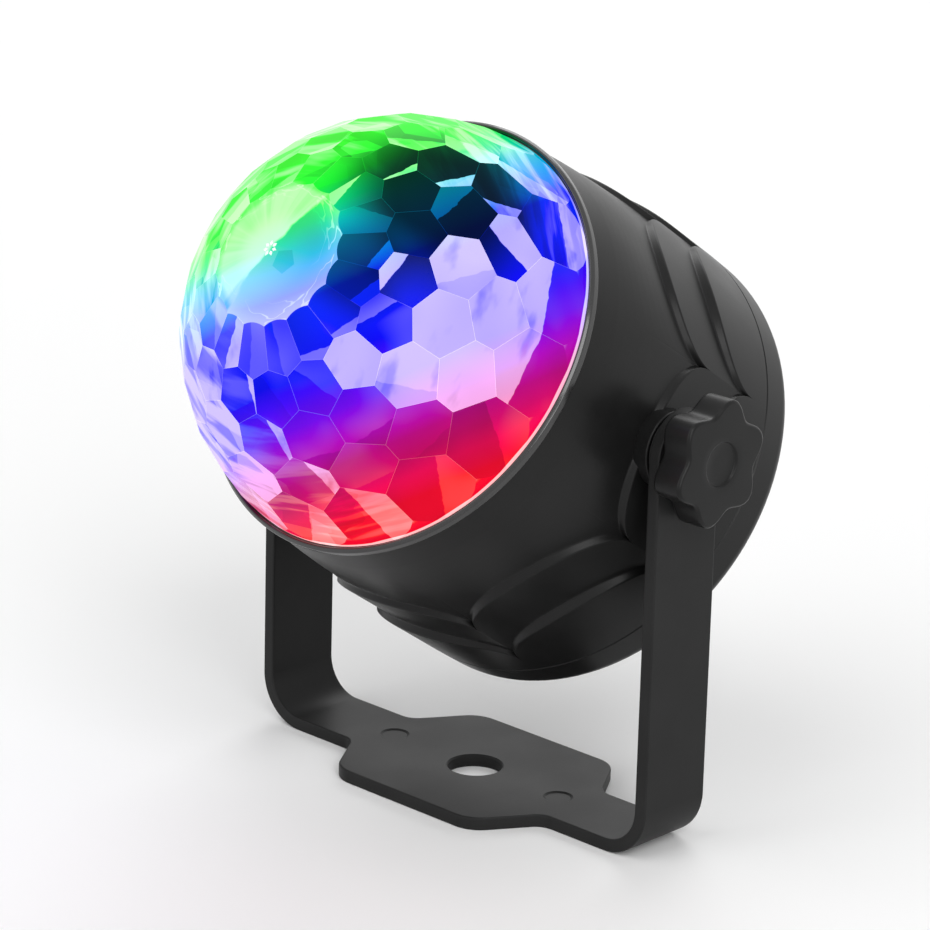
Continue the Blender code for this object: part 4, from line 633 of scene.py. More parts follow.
SLOT_FINISHES = {
    "black_satin": BLACK_SATIN,
    "black_gloss": BLACK_GLOSS,
    "white_plastic": WHITE_SATIN,
    "clear": WHITE_SATIN,
    "rubber": BLACK_RUBBER,
    "steel": STEEL,
    "brass": SkinFinish("turned_brass", (0.6, 0.42, 0.16), (0.78, 0.58, 0.28), (0.25, 0.4), metallic=1.0),
    "nylon": SkinFinish("natural_nylon", (0.7, 0.67, 0.58), (0.82, 0.79, 0.7), (0.45, 0.6)),
    "board_white": SkinFinish("white_board_coating", (0.74, 0.75, 0.72), (0.84, 0.85, 0.82), (0.35, 0.5)),
    "board_green": SkinFinish("green_board_coating", (0.02, 0.14, 0.05), (0.04, 0.22, 0.09), (0.3, 0.45)),
    "coil_case": SkinFinish("transformer_tape", (0.6, 0.46, 0.08), (0.78, 0.62, 0.14), (0.4, 0.55)),
    "sleeve": SkinFinish("capacitor_sleeve", (0.03, 0.04, 0.12), (0.06, 0.07, 0.18), (0.3, 0.4)),
    "led_red": SkinFinish("led_red_lens", (0.75, 0.03, 0.02), (0.92, 0.08, 0.06), (0.15, 0.25)),
    "led_green": SkinFinish("led_green_lens", (0.03, 0.7, 0.08), (0.08, 0.9, 0.16), (0.15, 0.25)),
    "led_blue": SkinFinish("led_blue_lens", (0.03, 0.07, 0.8), (0.08, 0.15, 0.95), (0.15, 0.25)),
}


# Dome


class FacetKind(Enum):
    """What a face of the dome is."""

    FACET = 0.0
    EDGE = 1.0
    CAP = 2.0


@dataclass(frozen=True)
class Shade:
    """A soft dark region: full up to one angle from its direction in degrees, and gone at another."""

    direction: Direction
    full: float
    end: float
    amount: float


@dataclass(frozen=True)
class LightPatch:
    """Facets that show the light inside in the same way.

    A facet shows one brightness, and past a crisp line across it another one. The turn is the way to that
    other part, in degrees from the way to the cap towards the next facet of the ring. The line's place is
    a share of the facet's radius.
    """

    name: str
    facets: tuple[tuple[int, int], ...]
    tone: float
    second: float
    turn: float = 0.0
    line: float = 2.0


LIGHT_PATCHES = (
    LightPatch("full_beam", ((2, 16), (3, 0), (4, 0)), 0.88, 0.88),
    LightPatch("full_beam_pink", ((4, 17),), 0.95, 0.95),
    # Full light, with patches of painted shade
    LightPatch("full_beam_with_smudges", ((3, 1), (3, 17)), 0.92, 0.8, -120.0, 0.3),
    LightPatch("beam_with_outer_edge", ((5, 0), (5, 1)), 0.86, 0.41, 180.0, -0.05),
    LightPatch("beam_with_wedge", ((4, 1),), 0.88, 0.45, -50.0, 0.12),
    LightPatch("rim_red", ((5, 15),), 0.36, 0.6, 90.0, 0.1),
    LightPatch("rim_pink", ((5, 14),), 0.5, 0.72, 120.0, 0.2),
    LightPatch("rim_magenta", ((5, 13), (5, 12)), 0.62, 0.78, 100.0, 0.2),
    LightPatch("rim_streaks", ((5, 2),), 0.38, 0.74, 180.0, 0.5),
    LightPatch("rim_sky", ((5, 3), (5, 4)), 0.52, 0.74, -60.0, 0.3),
    LightPatch("beam_strip", ((2, 0),), 0.38, 0.88, 20.0, 0.42),
    LightPatch("beam_tail", ((2, 17),), 0.42, 0.58, 25.0, 0.4),
    LightPatch("unlit", ((2, 1), (2, 2)), 0.36, 0.36),
    LightPatch("unlit_with_lit_side", ((3, 3), (2, 3)), 0.36, 0.72, -95.0, 0.55),
    LightPatch("unlit_with_lit_edge", ((4, 2),), 0.36, 0.66, -75.0, 0.62),
    LightPatch("unlit_with_soft_corner", ((3, 2),), 0.36, 0.5, 45.0, 0.3),
    LightPatch("near_cap_soft_corner", ((1, 1), (1, 0)), 0.36, 0.54, -150.0, 0.3),
    LightPatch("near_cap_soft_side", ((1, 17), (1, 16)), 0.38, 0.56, -165.0, 0.42),
    LightPatch("near_cap_teal", ((1, 2),), 0.48, 0.4, 120.0, 0.2),
    LightPatch("near_cap_green", ((1, 3),), 0.46, 0.74, 60.0, 0.35),
    LightPatch("near_cap_blue", ((1, 15), (1, 14)), 0.5, 0.44, -90.0, 0.1),
    LightPatch("near_cap_steep", ((1, 13),), 0.5, 0.88, 90.0, 0.05),
    LightPatch("middle_blue", ((2, 15), (2, 14)), 0.39, 0.44, 60.0, 0.1),
    LightPatch("middle_violet", ((3, 15), (3, 16)), 0.39, 0.3, 180.0, 0.5),
    LightPatch("crimson", ((4, 15), (4, 16)), 0.37, 0.32, 180.0, 0.4),
    LightPatch("red", ((5, 16), (5, 17)), 0.3, 0.42, 120.0, 0.35),
    LightPatch("bright_far_side", ((2, 13), (3, 14), (4, 14)), 0.44, 0.86, 70.0, 0.58),
)


@dataclass(frozen=True)
class Grain:
    """Soft noise, stretched along the head's directions, whose middle range becomes a range of brightness."""

    scale: float
    detail: float
    limits: Span
    tones: Span
    stretch: Direction = (1.0, 1.0, 1.0)


@dataclass(frozen=True)
class LitDomeFinish:
    """Clear plastic with the coloured light of the LEDs in it, from green through blue to red.

    Places are measured from the dome's centre. Those of the cap and of the rim band are shares of its radius.
    """

    name: str = "lit_clear_plastic"
    radius: float = 39.9 * MM
    centre: float = 25.45 * MM
    wash_axis: Direction = (0.495, -0.6783, -0.5799)
    kind_step: Span = (0.4, 0.6)
    fine_streaks: Grain = Grain(42.0, 3.0, (0.44, 0.6), (-0.14, 0.26), (1.0, 1.0, 9.0))
    clouds: Grain = Grain(70.0, 1.0, (0.3, 0.7), (-0.06, 0.06))
    # Painted shade: dark blotches in the light of the pale facets
    shade_blotches: Grain = Grain(210.0, 3.0, (0.56, 0.76), (0.0, -0.22), (1.0, 0.4, 1.0))
    # Pale rays of the painted reflection on the cap
    rays: Grain = Grain(4.0, 3.0, (0.36, 0.6), (0.74, 0.9))
    chips: Grain = Grain(120.0, 0.0, (0.4, 0.9), (-0.06, 0.12), (1.0, 1.0, 1.8))
    # Tones of light that the painted shade blotches reach
    shade_blotch_tones: Span = (0.55, 0.75)
    unshaded_tones: Span = (0.42, 0.66)
    line_scale: float = 420.0
    line_wobble: float = 1.1 * MM
    line_blur: float = 0.08 * MM
    # Painted highlights: the light of the bevels between facets, and white lines along the pale facets
    edge_of_facet: float = 0.7
    edge_of_light: float = 0.24
    edge_base: float = 0.09
    glinting_tones: Span = (0.74, 0.88)
    glint_tone: float = 0.4
    # Painted highlight: a fine bright line along the dome's rim, on one side
    rim_line: float = 3.0 * MM
    rim_blur: float = 0.06 * MM
    rim_tone: float = 0.34
    rim_side: Direction = (0.8, -0.35, 0.0)
    rim_side_reach: Span = (0.0, 0.5)
    rim_band: Span = (0.12, 0.16)
    rim_band_tone: float = 0.4
    # The painted reflection on the cap: its crisp edge, its bright middle and its frayed end
    cap_line_way: Direction = (0.918, -0.396, 0.0)
    cap_line: Span = (0.013, 0.033)
    cap_line_scale: float = 260.0
    cap_line_wobble: float = 0.05
    cap_middle: Span = (0.978, 0.998)
    cap_middle_tone: float = 0.98
    cap_fray: Span = (0.964, 0.976)
    cap_fray_scale: float = 90.0
    cap_fray_stretch: Direction = (1.0, 1.0, 6.0)
    cap_fray_depth: float = 0.03
    cap_fray_tone: float = -0.26
    cap_low: Span = (-0.14, 0.24)
    cap_low_tones: Span = (0.33, 0.66)
    cap_rim: Span = (0.93, 0.98)
    cap_rim_tone: float = 0.24
    cap_haze: float = 0.03
    # Painted glints: fine bright lines near the cap's edge
    contours: Span = (0.945, 0.975)
    contour_scale: float = 130.0
    contour_pull: Direction = (0.006, 0.006, 0.0)
    contour_stretch: Direction = (0.5, 0.5, 11.0)
    contour_width: Span = (0.005, 0.02)
    contour_tone: float = 0.32
    # A spot of painted shade beside the cap's middle
    spot_place: Direction = (0.098, -0.035, 0.0)
    spot_radius: Span = (1.8 * MM, 1.95 * MM)
    spot_sides: int = 5
    spot_tone: float = -0.08
    full_colour: float = 0.4
    haze: Colour = (0.0, 0.003, 0.008)
    base_share: float = 0.2
    emission: float = 0.82
    roughness: float = 0.05
    gloss: float = 0.02
    washes: tuple[tuple[float, Colour], ...] = (
        (-0.93, (0.05, 1.0, 0.02)), (-0.74, (0.01, 0.95, 0.03)), (-0.64, (0.0, 0.78, 0.24)),
        (-0.56, (0.0, 0.56, 0.56)), (-0.46, (0.0, 0.38, 0.85)), (-0.38, (0.0, 0.22, 0.93)),
        (-0.31, (0.002, 0.02, 0.93)), (-0.03, (0.004, 0.0, 0.88)), (0.06, (0.05, 0.0, 0.9)),
        (0.18, (0.16, 0.0, 0.8)), (0.3, (0.42, 0.0, 0.5)), (0.4, (0.48, 0.0, 0.2)),
        (0.48, (0.62, 0.0, 0.13)), (0.56, (0.92, 0.0, 0.09)), (0.66, (0.96, 0.0, 0.02)),
    )
    pales: tuple[tuple[float, Colour], ...] = (
        (-0.72, (0.58, 1.0, 0.5)), (-0.56, (0.55, 0.9, 0.85)), (-0.42, (0.6, 0.8, 1.0)),
        (-0.25, (0.64, 0.56, 1.0)), (0.15, (0.64, 0.52, 1.0)), (0.32, (1.0, 0.46, 1.0)),
        (0.48, (1.0, 0.4, 0.7)), (0.66, (1.0, 0.5, 0.5)),
    )
    shades: tuple[Shade, ...] = (
        Shade((0.5, 0.52, 0.69), 14.0, 33.0, 0.96), Shade((0.44, 0.06, 0.9), 3.0, 17.0, 0.8))

    def material(self) -> bpy.types.Material:
        """Build the material.

        Returns:
            The material.
        """
        material, _, shader = new_material(self.name)
        wiring = DomeWiring(material.node_tree, self)
        glow = wiring.glow()
        wiring.fill(shader, {"Base Color": wiring.scaled(glow, self.base_share), "Emission Color": glow,
                             "Emission Strength": self.emission, "Roughness": self.roughness,
                             "Specular IOR Level": self.gloss})
        return material


class DomeWiring(Wiring):
    """The nodes of the lit dome's finish, with the place on the dome that most of them need."""

    def __init__(self, tree: bpy.types.NodeTree, look: LitDomeFinish) -> None:
        """Find the place on the dome: in the head's directions, from the dome's centre.

        Args:
            tree: The material's node tree.
            look: The finish.
        """
        super().__init__(tree)
        self.look = look
        to_head = HEAD.inverted()
        place = self.node("ShaderNodeTexCoord").outputs["Object"]
        self.local = self.node("ShaderNodeMapping", {
            "Vector": place, "Location": to_head.translation - Vector((0.0, 0.0, look.centre)),
            "Rotation": to_head.to_euler()}).outputs["Vector"]
        self.height = self.part(self.local, "Z")
        self.sideways = self.vector("NORMALIZE", self.vector("MULTIPLY", self.local, FLAT))
        self.left = self._shade()

    def _beyond(self, kind: FacetKind) -> Socket:
        """1 on faces of the kinds after this one, and 0 on the others."""
        low, high = (kind.value + step for step in self.look.kind_step)
        return self.ramp(self.stored("facet_kind"), low, high)

    def _along(self, way: Direction) -> Socket:
        """How far the place lies along a direction, as a share of the dome's radius."""
        return self.vector("DOT_PRODUCT", self.local, tuple(Vector(way) / self.look.radius))

    def _over(self, length: object, limits: Span, start: float = 0.0, end: float = 1.0) -> Socket:
        """Ramp of a length between two limits, which are shares of the dome's radius."""
        low, high = (limit * self.look.radius for limit in limits)
        return self.ramp(length, low, high, start, end)

    def _grain(self, place: Socket, grain: Grain, shift: object = (0.0, 0.0, 0.0),
               kind: str = "SMOOTHSTEP") -> Socket:
        """Brightness of a grain at a place, which is stretched and then shifted."""
        drawn = self.vector("MULTIPLY_ADD", place, grain.stretch, shift)
        return self.ramp(self.noise(drawn, grain.scale, grain.detail), *grain.limits, *grain.tones, kind)

    def _wobble(self, place: Socket, scale: float) -> Socket:
        """Soft noise about 0."""
        return self.math("SUBTRACT", self.noise(place, scale), NOISE_MIDDLE)

    def _streaks(self, shift: Socket) -> Socket:
        """Draw fine streaks along the rings, and coarser broken shapes, as seen through steep facets.

        Args:
            shift: The facet's own shift of the pattern.

        Returns:
            The brightness to add.
        """
        chips = self.look.chips
        drawn = self.vector("MULTIPLY_ADD", self.local, chips.stretch, shift)
        broken = self.node("ShaderNodeTexVoronoi", {"Vector": drawn, "Scale": chips.scale})
        chip = self.ramp(self.part(broken.outputs["Color"], "X"), *chips.limits, *chips.tones)
        return self.total(self._grain(self.local, self.look.fine_streaks, shift), chip)

    def _shade(self) -> Socket:
        """Work out how much of the light reaches each place, from the soft dark regions.

        Returns:
            The share of the light.
        """
        left = 1.0
        for shade in self.look.shades:
            near = self._along(Vector(shade.direction).normalized())
            end, full = (math.cos(math.radians(angle)) for angle in (shade.end, shade.full))
            left = self.math("MULTIPLY", self.ramp(near, end, full, 1.0, 1.0 - shade.amount), left)
        return left

    def _facet_tone(self) -> Socket:
        """Work out the brightness on the facets: their two parts, soft clouds, blotches of painted shade on
        the pale ones, and streaks.

        Returns:
            The brightness.
        """
        look = self.look
        shift = self.stored("facet_shift", "Vector")
        moved = self.vector("ADD", self.local, shift)
        past = self.vector("DOT_PRODUCT", self.local, self.stored("facet_way", "Vector"))
        past = self.total(self.math("SUBTRACT", past, self.stored("facet_line")),
                          self.math("MULTIPLY", self._wobble(moved, look.line_scale), look.line_wobble))
        tone = self.choose(self.ramp(past, -look.line_blur, look.line_blur), self.stored("facet_tone"),
                           self.stored("facet_second"))
        cloud = self._grain(moved, look.clouds, kind="LINEAR")
        streaks = self.math("MULTIPLY", self._streaks(shift), self.stored("facet_steep"))
        # Painted shade: dark blotches dim the light of the pale facets only
        shade_blotch = self.math("MULTIPLY", self._grain(moved, look.shade_blotches), self.ramp(tone, *look.shade_blotch_tones))
        lit = self.total(tone, cloud, streaks, shade_blotch)
        return self.choose(self.ramp(tone, *look.unshaded_tones), self.math("MULTIPLY", lit, self.left), lit)

    def _reflection_half(self) -> Socket:
        """Draw the painted reflection on one half of the cap: pale rays round its middle, frayed where they
        end.

        Returns:
            The brightness.
        """
        look = self.look
        bright = self.choose(self._over(self.height, look.cap_middle), self._grain(self.sideways, look.rays),
                             look.cap_middle_tone)
        drawn = self.vector("MULTIPLY", self.local, look.cap_fray_stretch)
        frayed = self.math("MULTIPLY_ADD", self.noise(drawn, look.cap_fray_scale),
                           look.cap_fray_depth * look.radius, self.height)
        return self.total(bright, self._over(frayed, look.cap_fray, look.cap_fray_tone, 0.0))

    def _dim_half(self) -> Socket:
        """Brightness of the cap's other half, which is paler towards its low side and near the rings."""
        low = self.ramp(self._along((0.0, -1.0, 0.0)), *self.look.cap_low, *self.look.cap_low_tones)
        return self.total(low, self._over(self.height, self.look.cap_rim, self.look.cap_rim_tone, 0.0))

    def _shade_spot(self) -> Socket:
        """Draw a spot of painted shade, with straight sides, beside the cap's middle.

        Returns:
            The brightness to add.
        """
        look = self.look
        beside = self.vector("SUBTRACT", self.local, tuple(Vector(look.spot_place) * look.radius))
        turned = self.math("ARCTAN2", self.part(beside, "Y"), self.part(beside, "X"))
        side = FULL_TURN / look.spot_sides
        corner = self.math("SUBTRACT", self.math("FLOORED_MODULO", turned, side), side / 2)
        away = self.vector("LENGTH", self.vector("MULTIPLY", beside, FLAT))
        return self.ramp(self.math("MULTIPLY", away, self.math("COSINE", corner)), *look.spot_radius,
                         look.spot_tone, 0.0)

    def _painted_glints(self) -> Socket:
        """Draw painted glints: fine bright lines round the cap, near its edge.

        Returns:
            The brightness to add.
        """
        look = self.look
        ringed = self.vector("MULTIPLY_ADD", self.sideways, look.contour_pull,
                             self.vector("MULTIPLY", self.local, look.contour_stretch))
        away = self.math("ABSOLUTE", self._wobble(ringed, look.contour_scale))
        return self.math("MULTIPLY", self.ramp(away, *look.contour_width, look.contour_tone, 0.0),
                         self._over(self.height, look.contours, 1.0, 0.0))

    def _cap_tone(self) -> Socket:
        """Work out the brightness of the smooth cap: a half with a painted reflection, a dimmer half, a spot
        of painted shade and fine painted glints.

        Returns:
            The brightness.
        """
        look = self.look
        ragged = self.math("MULTIPLY", self.noise(self.local, look.cap_line_scale), look.cap_line_wobble)
        past = self.total(self._along(look.cap_line_way), ragged)
        # One half of the cap shows the painted reflection, the other the dimmer light
        half = self.choose(self.ramp(past, *look.cap_line), self._reflection_half(), self._dim_half())
        return self.total(half, self._shade_spot(), self._painted_glints())

    def _wash(self, along: Socket, colours: Sequence[tuple[float, Colour]]) -> Socket:
        """Work out the colour of the light at each place along the wash.

        Args:
            along: The place along the wash, from -1 to 1.
            colours: Places with their colours.

        Returns:
            The colour.
        """
        wash = self.node("ShaderNodeValToRGB", {"Fac": self.ramp(along, -1.0, 1.0, 0.0, 1.0, "LINEAR")})
        stops = wash.color_ramp.elements
        while len(stops) < len(colours):
            stops.new(0.5)
        for index, (spot, colour) in enumerate(colours):
            stops[index].position = (spot + 1.0) / 2
            stops[index].color = rgba(colour)
        return wash.outputs["Color"]

    def _colour(self, along: Socket, tone: Socket) -> Socket:
        """Turn brightness into colour: first the full colour, then its pale form.

        Args:
            along: The place along the wash.
            tone: The brightness.

        Returns:
            The colour.
        """
        under = self.ramp(tone, 0.0, self.look.full_colour, 0.0, 1.0, "LINEAR")
        over = self.ramp(tone, self.look.full_colour, 1.0, 0.0, 1.0, "LINEAR")
        deep = self.scaled(self._wash(along, self.look.washes), self.total(under, over))
        white = self.scaled(self._wash(along, self.look.pales), over)
        return self.vector("MINIMUM", self.vector("MAXIMUM", deep, white), (1.0, 1.0, 1.0))

    def glow(self) -> Socket:
        """Work out the light that the dome gives off.

        Returns:
            Its colour.
        """
        look = self.look
        past_facet, on_cap = self._beyond(FacetKind.FACET), self._beyond(FacetKind.EDGE)
        along = self.math("MULTIPLY_ADD", on_cap, -look.cap_haze, self._along(look.wash_axis))
        facet = self._facet_tone()
        # Painted highlight lines on the bevels between facets
        edge = self.math("MULTIPLY_ADD", self.left, look.edge_of_light, look.edge_base)
        edge = self.math("MULTIPLY_ADD", facet, look.edge_of_facet, edge)
        above_rim = self._over(self.height, look.rim_band)
        edge = self.choose(above_rim, self.math("MULTIPLY", self.left, look.rim_band_tone), edge)
        tone = self.choose(on_cap, self.choose(past_facet, facet, edge), self._cap_tone())
        # Painted highlight along the rim's edge
        low = self.ramp(self.height, look.rim_line - look.rim_blur, look.rim_line + look.rim_blur,
                        look.rim_tone, 0.0)
        rim_highlight = self.math("MULTIPLY", low, self.ramp(self._along(look.rim_side), *look.rim_side_reach))
        # Painted highlights added in white: lines along the pale facets' edges, the rim highlight and the
        # cap's haze
        outline = self.math("MULTIPLY", self.math("SUBTRACT", past_facet, on_cap),
                            self.ramp(facet, *look.glinting_tones, 0.0, look.glint_tone))
        outline = self.math("MULTIPLY_ADD", outline, above_rim, rim_highlight)
        outline = self.math("MULTIPLY_ADD", on_cap, look.cap_haze, outline)
        bright = self._colour(along, self.total(rim_highlight, tone))
        outlined = self.vector("ADD", bright, self.scaled((1.0, 1.0, 1.0), outline))
        return self.vector("ADD", outlined, look.haze)


@dataclass
class Dome:
    """The clear faceted dome: a smooth cap, rings of facets, and a hollow inside. Angles are in degrees."""

    radius: float = 39.9 * MM
    inner_radius: float = 37.5 * MM
    centre: float = 25.45 * MM
    rim: float = 2.35 * MM
    ring_angles: tuple[float, ...] = (26.2, 37.7, 49.7, 62.2, 74.8)
    facets_per_ring: int = 18
    phase: float = -2.0
    rim_angle: float = 86.6
    bite: float = 0.25
    edge_width: float = 0.2 * MM
    edge_roundness: float = 0.6
    least_edge_angle: float = 4.0
    columns: int = 144
    bands: int = 100
    sharp: float = 2.0
    inner_bands: int = 40
    cap_height: float = 0.93
    seed: int = 7
    facet_radius: float = 6.0 * MM
    # Facets at a steep slant to the camera's direction get brighter painted light and streaks, those facing
    # down more so
    front: Direction = (0.62, -0.15, 0.77)
    steep_angles: Span = (44.0, 60.0)
    far_angles: Span = (80.0, 96.0)
    far_calm: float = 0.85
    rim_calm: float = 0.6
    plain_tone: float = 0.38
    steep_tone: float = 0.16
    low_tone: float = 0.28
    low_reach: Span = (0.0, 0.5)
    tone_chance: Span = (-0.04, 0.05)
    far_chance: float = 1.5
    second_steps: Span = (-0.14, 0.2)
    far_second: float = 0.5
    line_chance: Span = (0.0, 0.6)
    far_beams: tuple[Direction, ...] = ((-0.82, -0.3, 0.49), (-0.3, 0.88, 0.38))
    beam_angles: Span = (19.0, 26.0)
    beam_tones: Span = (0.86, 0.86)
    beam_edge_tones: Span = (0.42, 0.74)
    star_points: int = 7
    star_radius: float = 1.5 * MM
    star_height: float = 0.12 * MM
    star_root: float = 0.05 * MM
    star_fill: float = 0.8
    star_shares: tuple[float, float, float] = (0.34, 0.66, 1.0)
    star_middle: float = 0.64
    star_taper: float = 0.7

    def _planes(self) -> list[tuple[Vector, float]]:
        """Place the facets, ring by ring from the cap to the rim.

        Returns:
            Each facet's normal, and its distance from the dome's centre.
        """
        pitch = 360.0 / self.facets_per_ring
        planes = []
        for ring, polar in enumerate(self.ring_angles):
            if ring + 1 < len(self.ring_angles):
                step = self.ring_angles[ring + 1] - polar
                half = math.sin(math.radians(self.ring_angles[ring + 1])) * pitch / 2
                reach = (step**2 + half**2) / (2 * step)
            else:
                reach = self.rim_angle - polar
            depth = self.radius * math.cos(math.radians(reach + self.bite))
            start = self.phase + (pitch / 2 if ring % 2 else 0.0)
            out, up = math.sin(math.radians(polar)), math.cos(math.radians(polar))
            planes += [(around(out, math.radians(start + facet * pitch), up), depth)
                       for facet in range(self.facets_per_ring)]
        return planes

    def _cut_sphere(self) -> bmesh.types.BMesh:
        """Make the outer surface: a fine sphere cut flat by every facet, with softened edges.

        Returns:
            The surface.
        """
        shape = bmesh.new()
        turn = Matrix.Rotation(math.radians(self.phase), 4, "Z")
        bmesh.ops.create_uvsphere(shape, u_segments=self.columns, v_segments=self.bands, radius=self.radius,
                                  matrix=turn)
        for normal, depth in self._planes() + [(Vector((0.0, 0.0, -1.0)), -self.rim)]:
            everything = shape.verts[:] + shape.edges[:] + shape.faces[:]
            trimmed = bmesh.ops.bisect_plane(shape, geom=everything, dist=TOUCHING, plane_co=normal * depth,
                                             plane_no=normal, clear_outer=True)
            loop = [item for item in trimmed["geom_cut"] if isinstance(item, bmesh.types.BMEdge)]
            bmesh.ops.edgeloop_fill(shape, edges=loop)
        sharp = [edge for edge in shape.edges if len(edge.link_faces) == 2
                 and edge.calc_face_angle() > math.radians(self.least_edge_angle)
                 and all(abs(vertex.co.z - self.rim) > ON_SURFACE for vertex in edge.verts)]
        bmesh.ops.bevel(shape, geom=sharp, offset=self.edge_width, offset_type="OFFSET", segments=2,
                        profile=self.edge_roundness, affect="EDGES", clamp_overlap=True)
        return shape

    def _hollow(self, shape: bmesh.types.BMesh) -> None:
        """Open the flat rim and join it to an inner sphere, which makes a wall.

        Args:
            shape: The outer surface.
        """
        floor = [face for face in shape.faces if face.normal.z < FACING_DOWN]
        bmesh.ops.delete(shape, geom=floor, context="FACES_ONLY")
        outer = [edge for edge in shape.edges if edge.is_boundary]
        start = math.acos(self.rim / self.inner_radius)
        rings = []
        for step in range(self.inner_bands):
            polar = start * (1.0 - step / self.inner_bands)
            out, up = self.inner_radius * math.sin(polar), self.inner_radius * math.cos(polar)
            rings.append([shape.verts.new(point) for point in circle(out, up, self.columns)])
        for lower, upper in zip(rings, rings[1:]):
            skin_between(shape, upper, lower)
        shape.faces.new(rings[-1])
        inner = [shape.edges.get((rings[0][index], rings[0][(index + 1) % self.columns]))
                 for index in range(self.columns)]
        bmesh.ops.bridge_loops(shape, edges=outer + inner)
        bmesh.ops.recalc_face_normals(shape, faces=shape.faces)

    def _guess(self, normal: Vector, chance: random.Random) -> tuple[float, float, float, float]:
        """Guess what a facet shows from the way it faces.

        Args:
            normal: The facet's normal.
            chance: The source of the guesses.

        Returns:
            How steep it looks, its two tones, and the place of the line between them.
        """
        slant = math.degrees(Vector(self.front).angle(normal))
        far = share_between(slant, self.far_angles)
        steep = share_between(slant, self.steep_angles) * (1.0 - self.far_calm * far)
        low = share_between(-normal.y, self.low_reach)
        tone = self.plain_tone + steep * (self.steep_tone + self.low_tone * low)
        tone += chance.uniform(*self.tone_chance) * (1.0 + self.far_chance * far)
        second = tone + chance.choice(self.second_steps) * max(steep, self.far_second * far)
        line = chance.uniform(*self.line_chance)
        beam = min(math.degrees(Vector(way).angle(normal)) for way in self.far_beams)
        if far > 0.0 and beam < self.beam_angles[1]:
            tone, second = self.beam_tones if beam < self.beam_angles[0] else self.beam_edge_tones
        return steep, tone, second, line

    def _facet_lights(self) -> list[dict[str, object]]:
        """Work out what each facet shows.

        Returns:
            The attributes of each facet's faces, in the order of the planes.
        """
        chance = random.Random(self.seed)
        patches = {facet: patch for patch in LIGHT_PATCHES for facet in patch.facets}
        front = Vector(self.front).normalized()
        up = Vector((0.0, 0.0, 1.0))
        lights = []
        for index, (normal, depth) in enumerate(self._planes()):
            ring, place = divmod(index, self.facets_per_ring)
            steep, tone, second, line = self._guess(normal, chance)
            way = (front - normal * front.dot(normal)).normalized()
            patch = patches.get((ring + 1, place))
            if patch:
                angle = math.radians(patch.turn)
                tone, second, line = patch.tone, patch.second, patch.line
                log.debug("ring %d, facet %d shows %s", ring + 1, place, patch.name)
                way = ((up - normal * normal.z).normalized() * math.cos(angle)
                       + up.cross(normal).normalized() * math.sin(angle))
            if ring + 1 == len(self.ring_angles):
                steep *= self.rim_calm
            lights.append({"facet_tone": tone, "facet_second": second, "facet_way": way,
                           "facet_line": (normal * depth).dot(way) + line * self.facet_radius,
                           "facet_steep": steep,
                           "facet_shift": Vector([chance.uniform(-1.0, 1.0) for _ in range(3)])})
        return lights

    def _kind(self, face: bpy.types.MeshPolygon, normal: Vector, depth: float) -> FacetKind:
        """Tell what a face is.

        Args:
            face: The face.
            normal: The nearest facet's normal.
            depth: The nearest facet's distance from the dome's centre.

        Returns:
            Its kind.
        """
        if face.normal.dot(normal) > PARALLEL and abs(face.center.dot(normal) - depth) < ON_SURFACE:
            return FacetKind.FACET
        outward = face.center.normalized()
        on_cap = outward.z > self.cap_height and face.normal.dot(outward) > PARALLEL
        return FacetKind.CAP if on_cap else FacetKind.EDGE

    def _mark(self, mesh: bpy.types.Mesh) -> None:
        """Store on every face what it is and what its facet shows.

        Args:
            mesh: The dome's mesh, before it is placed.
        """
        planes = self._planes()
        lights = self._facet_lights()
        for name, value in {"facet_kind": 0.0, **lights[0]}.items():
            mesh.attributes.new(name, "FLOAT_VECTOR" if isinstance(value, Vector) else "FLOAT", "FACE")
        for face in mesh.polygons:
            nearest = max(range(len(planes)),
                          key=lambda index: face.center.dot(planes[index][0]) - planes[index][1])
            shown = {"facet_kind": self._kind(face, *planes[nearest]).value, **lights[nearest]}
            for name, value in shown.items():
                entry = mesh.attributes[name].data[face.index]
                setattr(entry, "vector" if isinstance(value, Vector) else "value", value)

    def build(self) -> None:
        """Build the dome."""
        shape = self._cut_sphere()
        self._hollow(shape)
        bmesh.ops.dissolve_degenerate(shape, dist=SAME_POINT, edges=shape.edges)
        piece = make_piece("clear_dome", shape, Matrix(), LitDomeFinish().material(), self.sharp)
        self._mark(piece.data)
        piece.data.transform(HEAD @ Matrix.Translation((0.0, 0.0, self.centre)))
        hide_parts("dome")
        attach(piece, "dome_rotor")
        log.info("dome: %d faces", len(piece.data.polygons))

    def build_star(self, circles: Repeater) -> None:
        """Build the small moulded star on the dome's top.

        Args:
            circles: Joins copies of a shape on a circle.
        """
        half = math.pi / self.star_points * self.star_fill
        near, wide, tip = (share * self.star_radius for share in self.star_shares)
        outline = [around(near, 0.0), around(wide, -half), around(tip, 0.0), around(wide, half)]
        middle = around(self.star_middle * self.star_radius, 0.0)
        levels = ((-self.star_root, 1.0), (self.star_height * self.star_taper, 1.0),
                  (self.star_height, self.star_taper))
        rings = []
        for height, share in levels:
            rings.append([middle + (point - middle) * share + Vector((0.0, 0.0, self.radius + height
                          - point.length**2 / (2 * self.radius))) for point in outline])
        point = make_piece("star_point", loft(rings), Matrix(), None)
        star = place_object("moulded_star", bpy.data.meshes.new("moulded_star"))
        circles.apply(star, point, self.star_points, 0.0, 0.0, FROSTED.material())
        star.data.transform(HEAD @ Matrix.Translation((0.0, 0.0, self.centre)))
        hand_over(star, "dome_rotor")


# Head


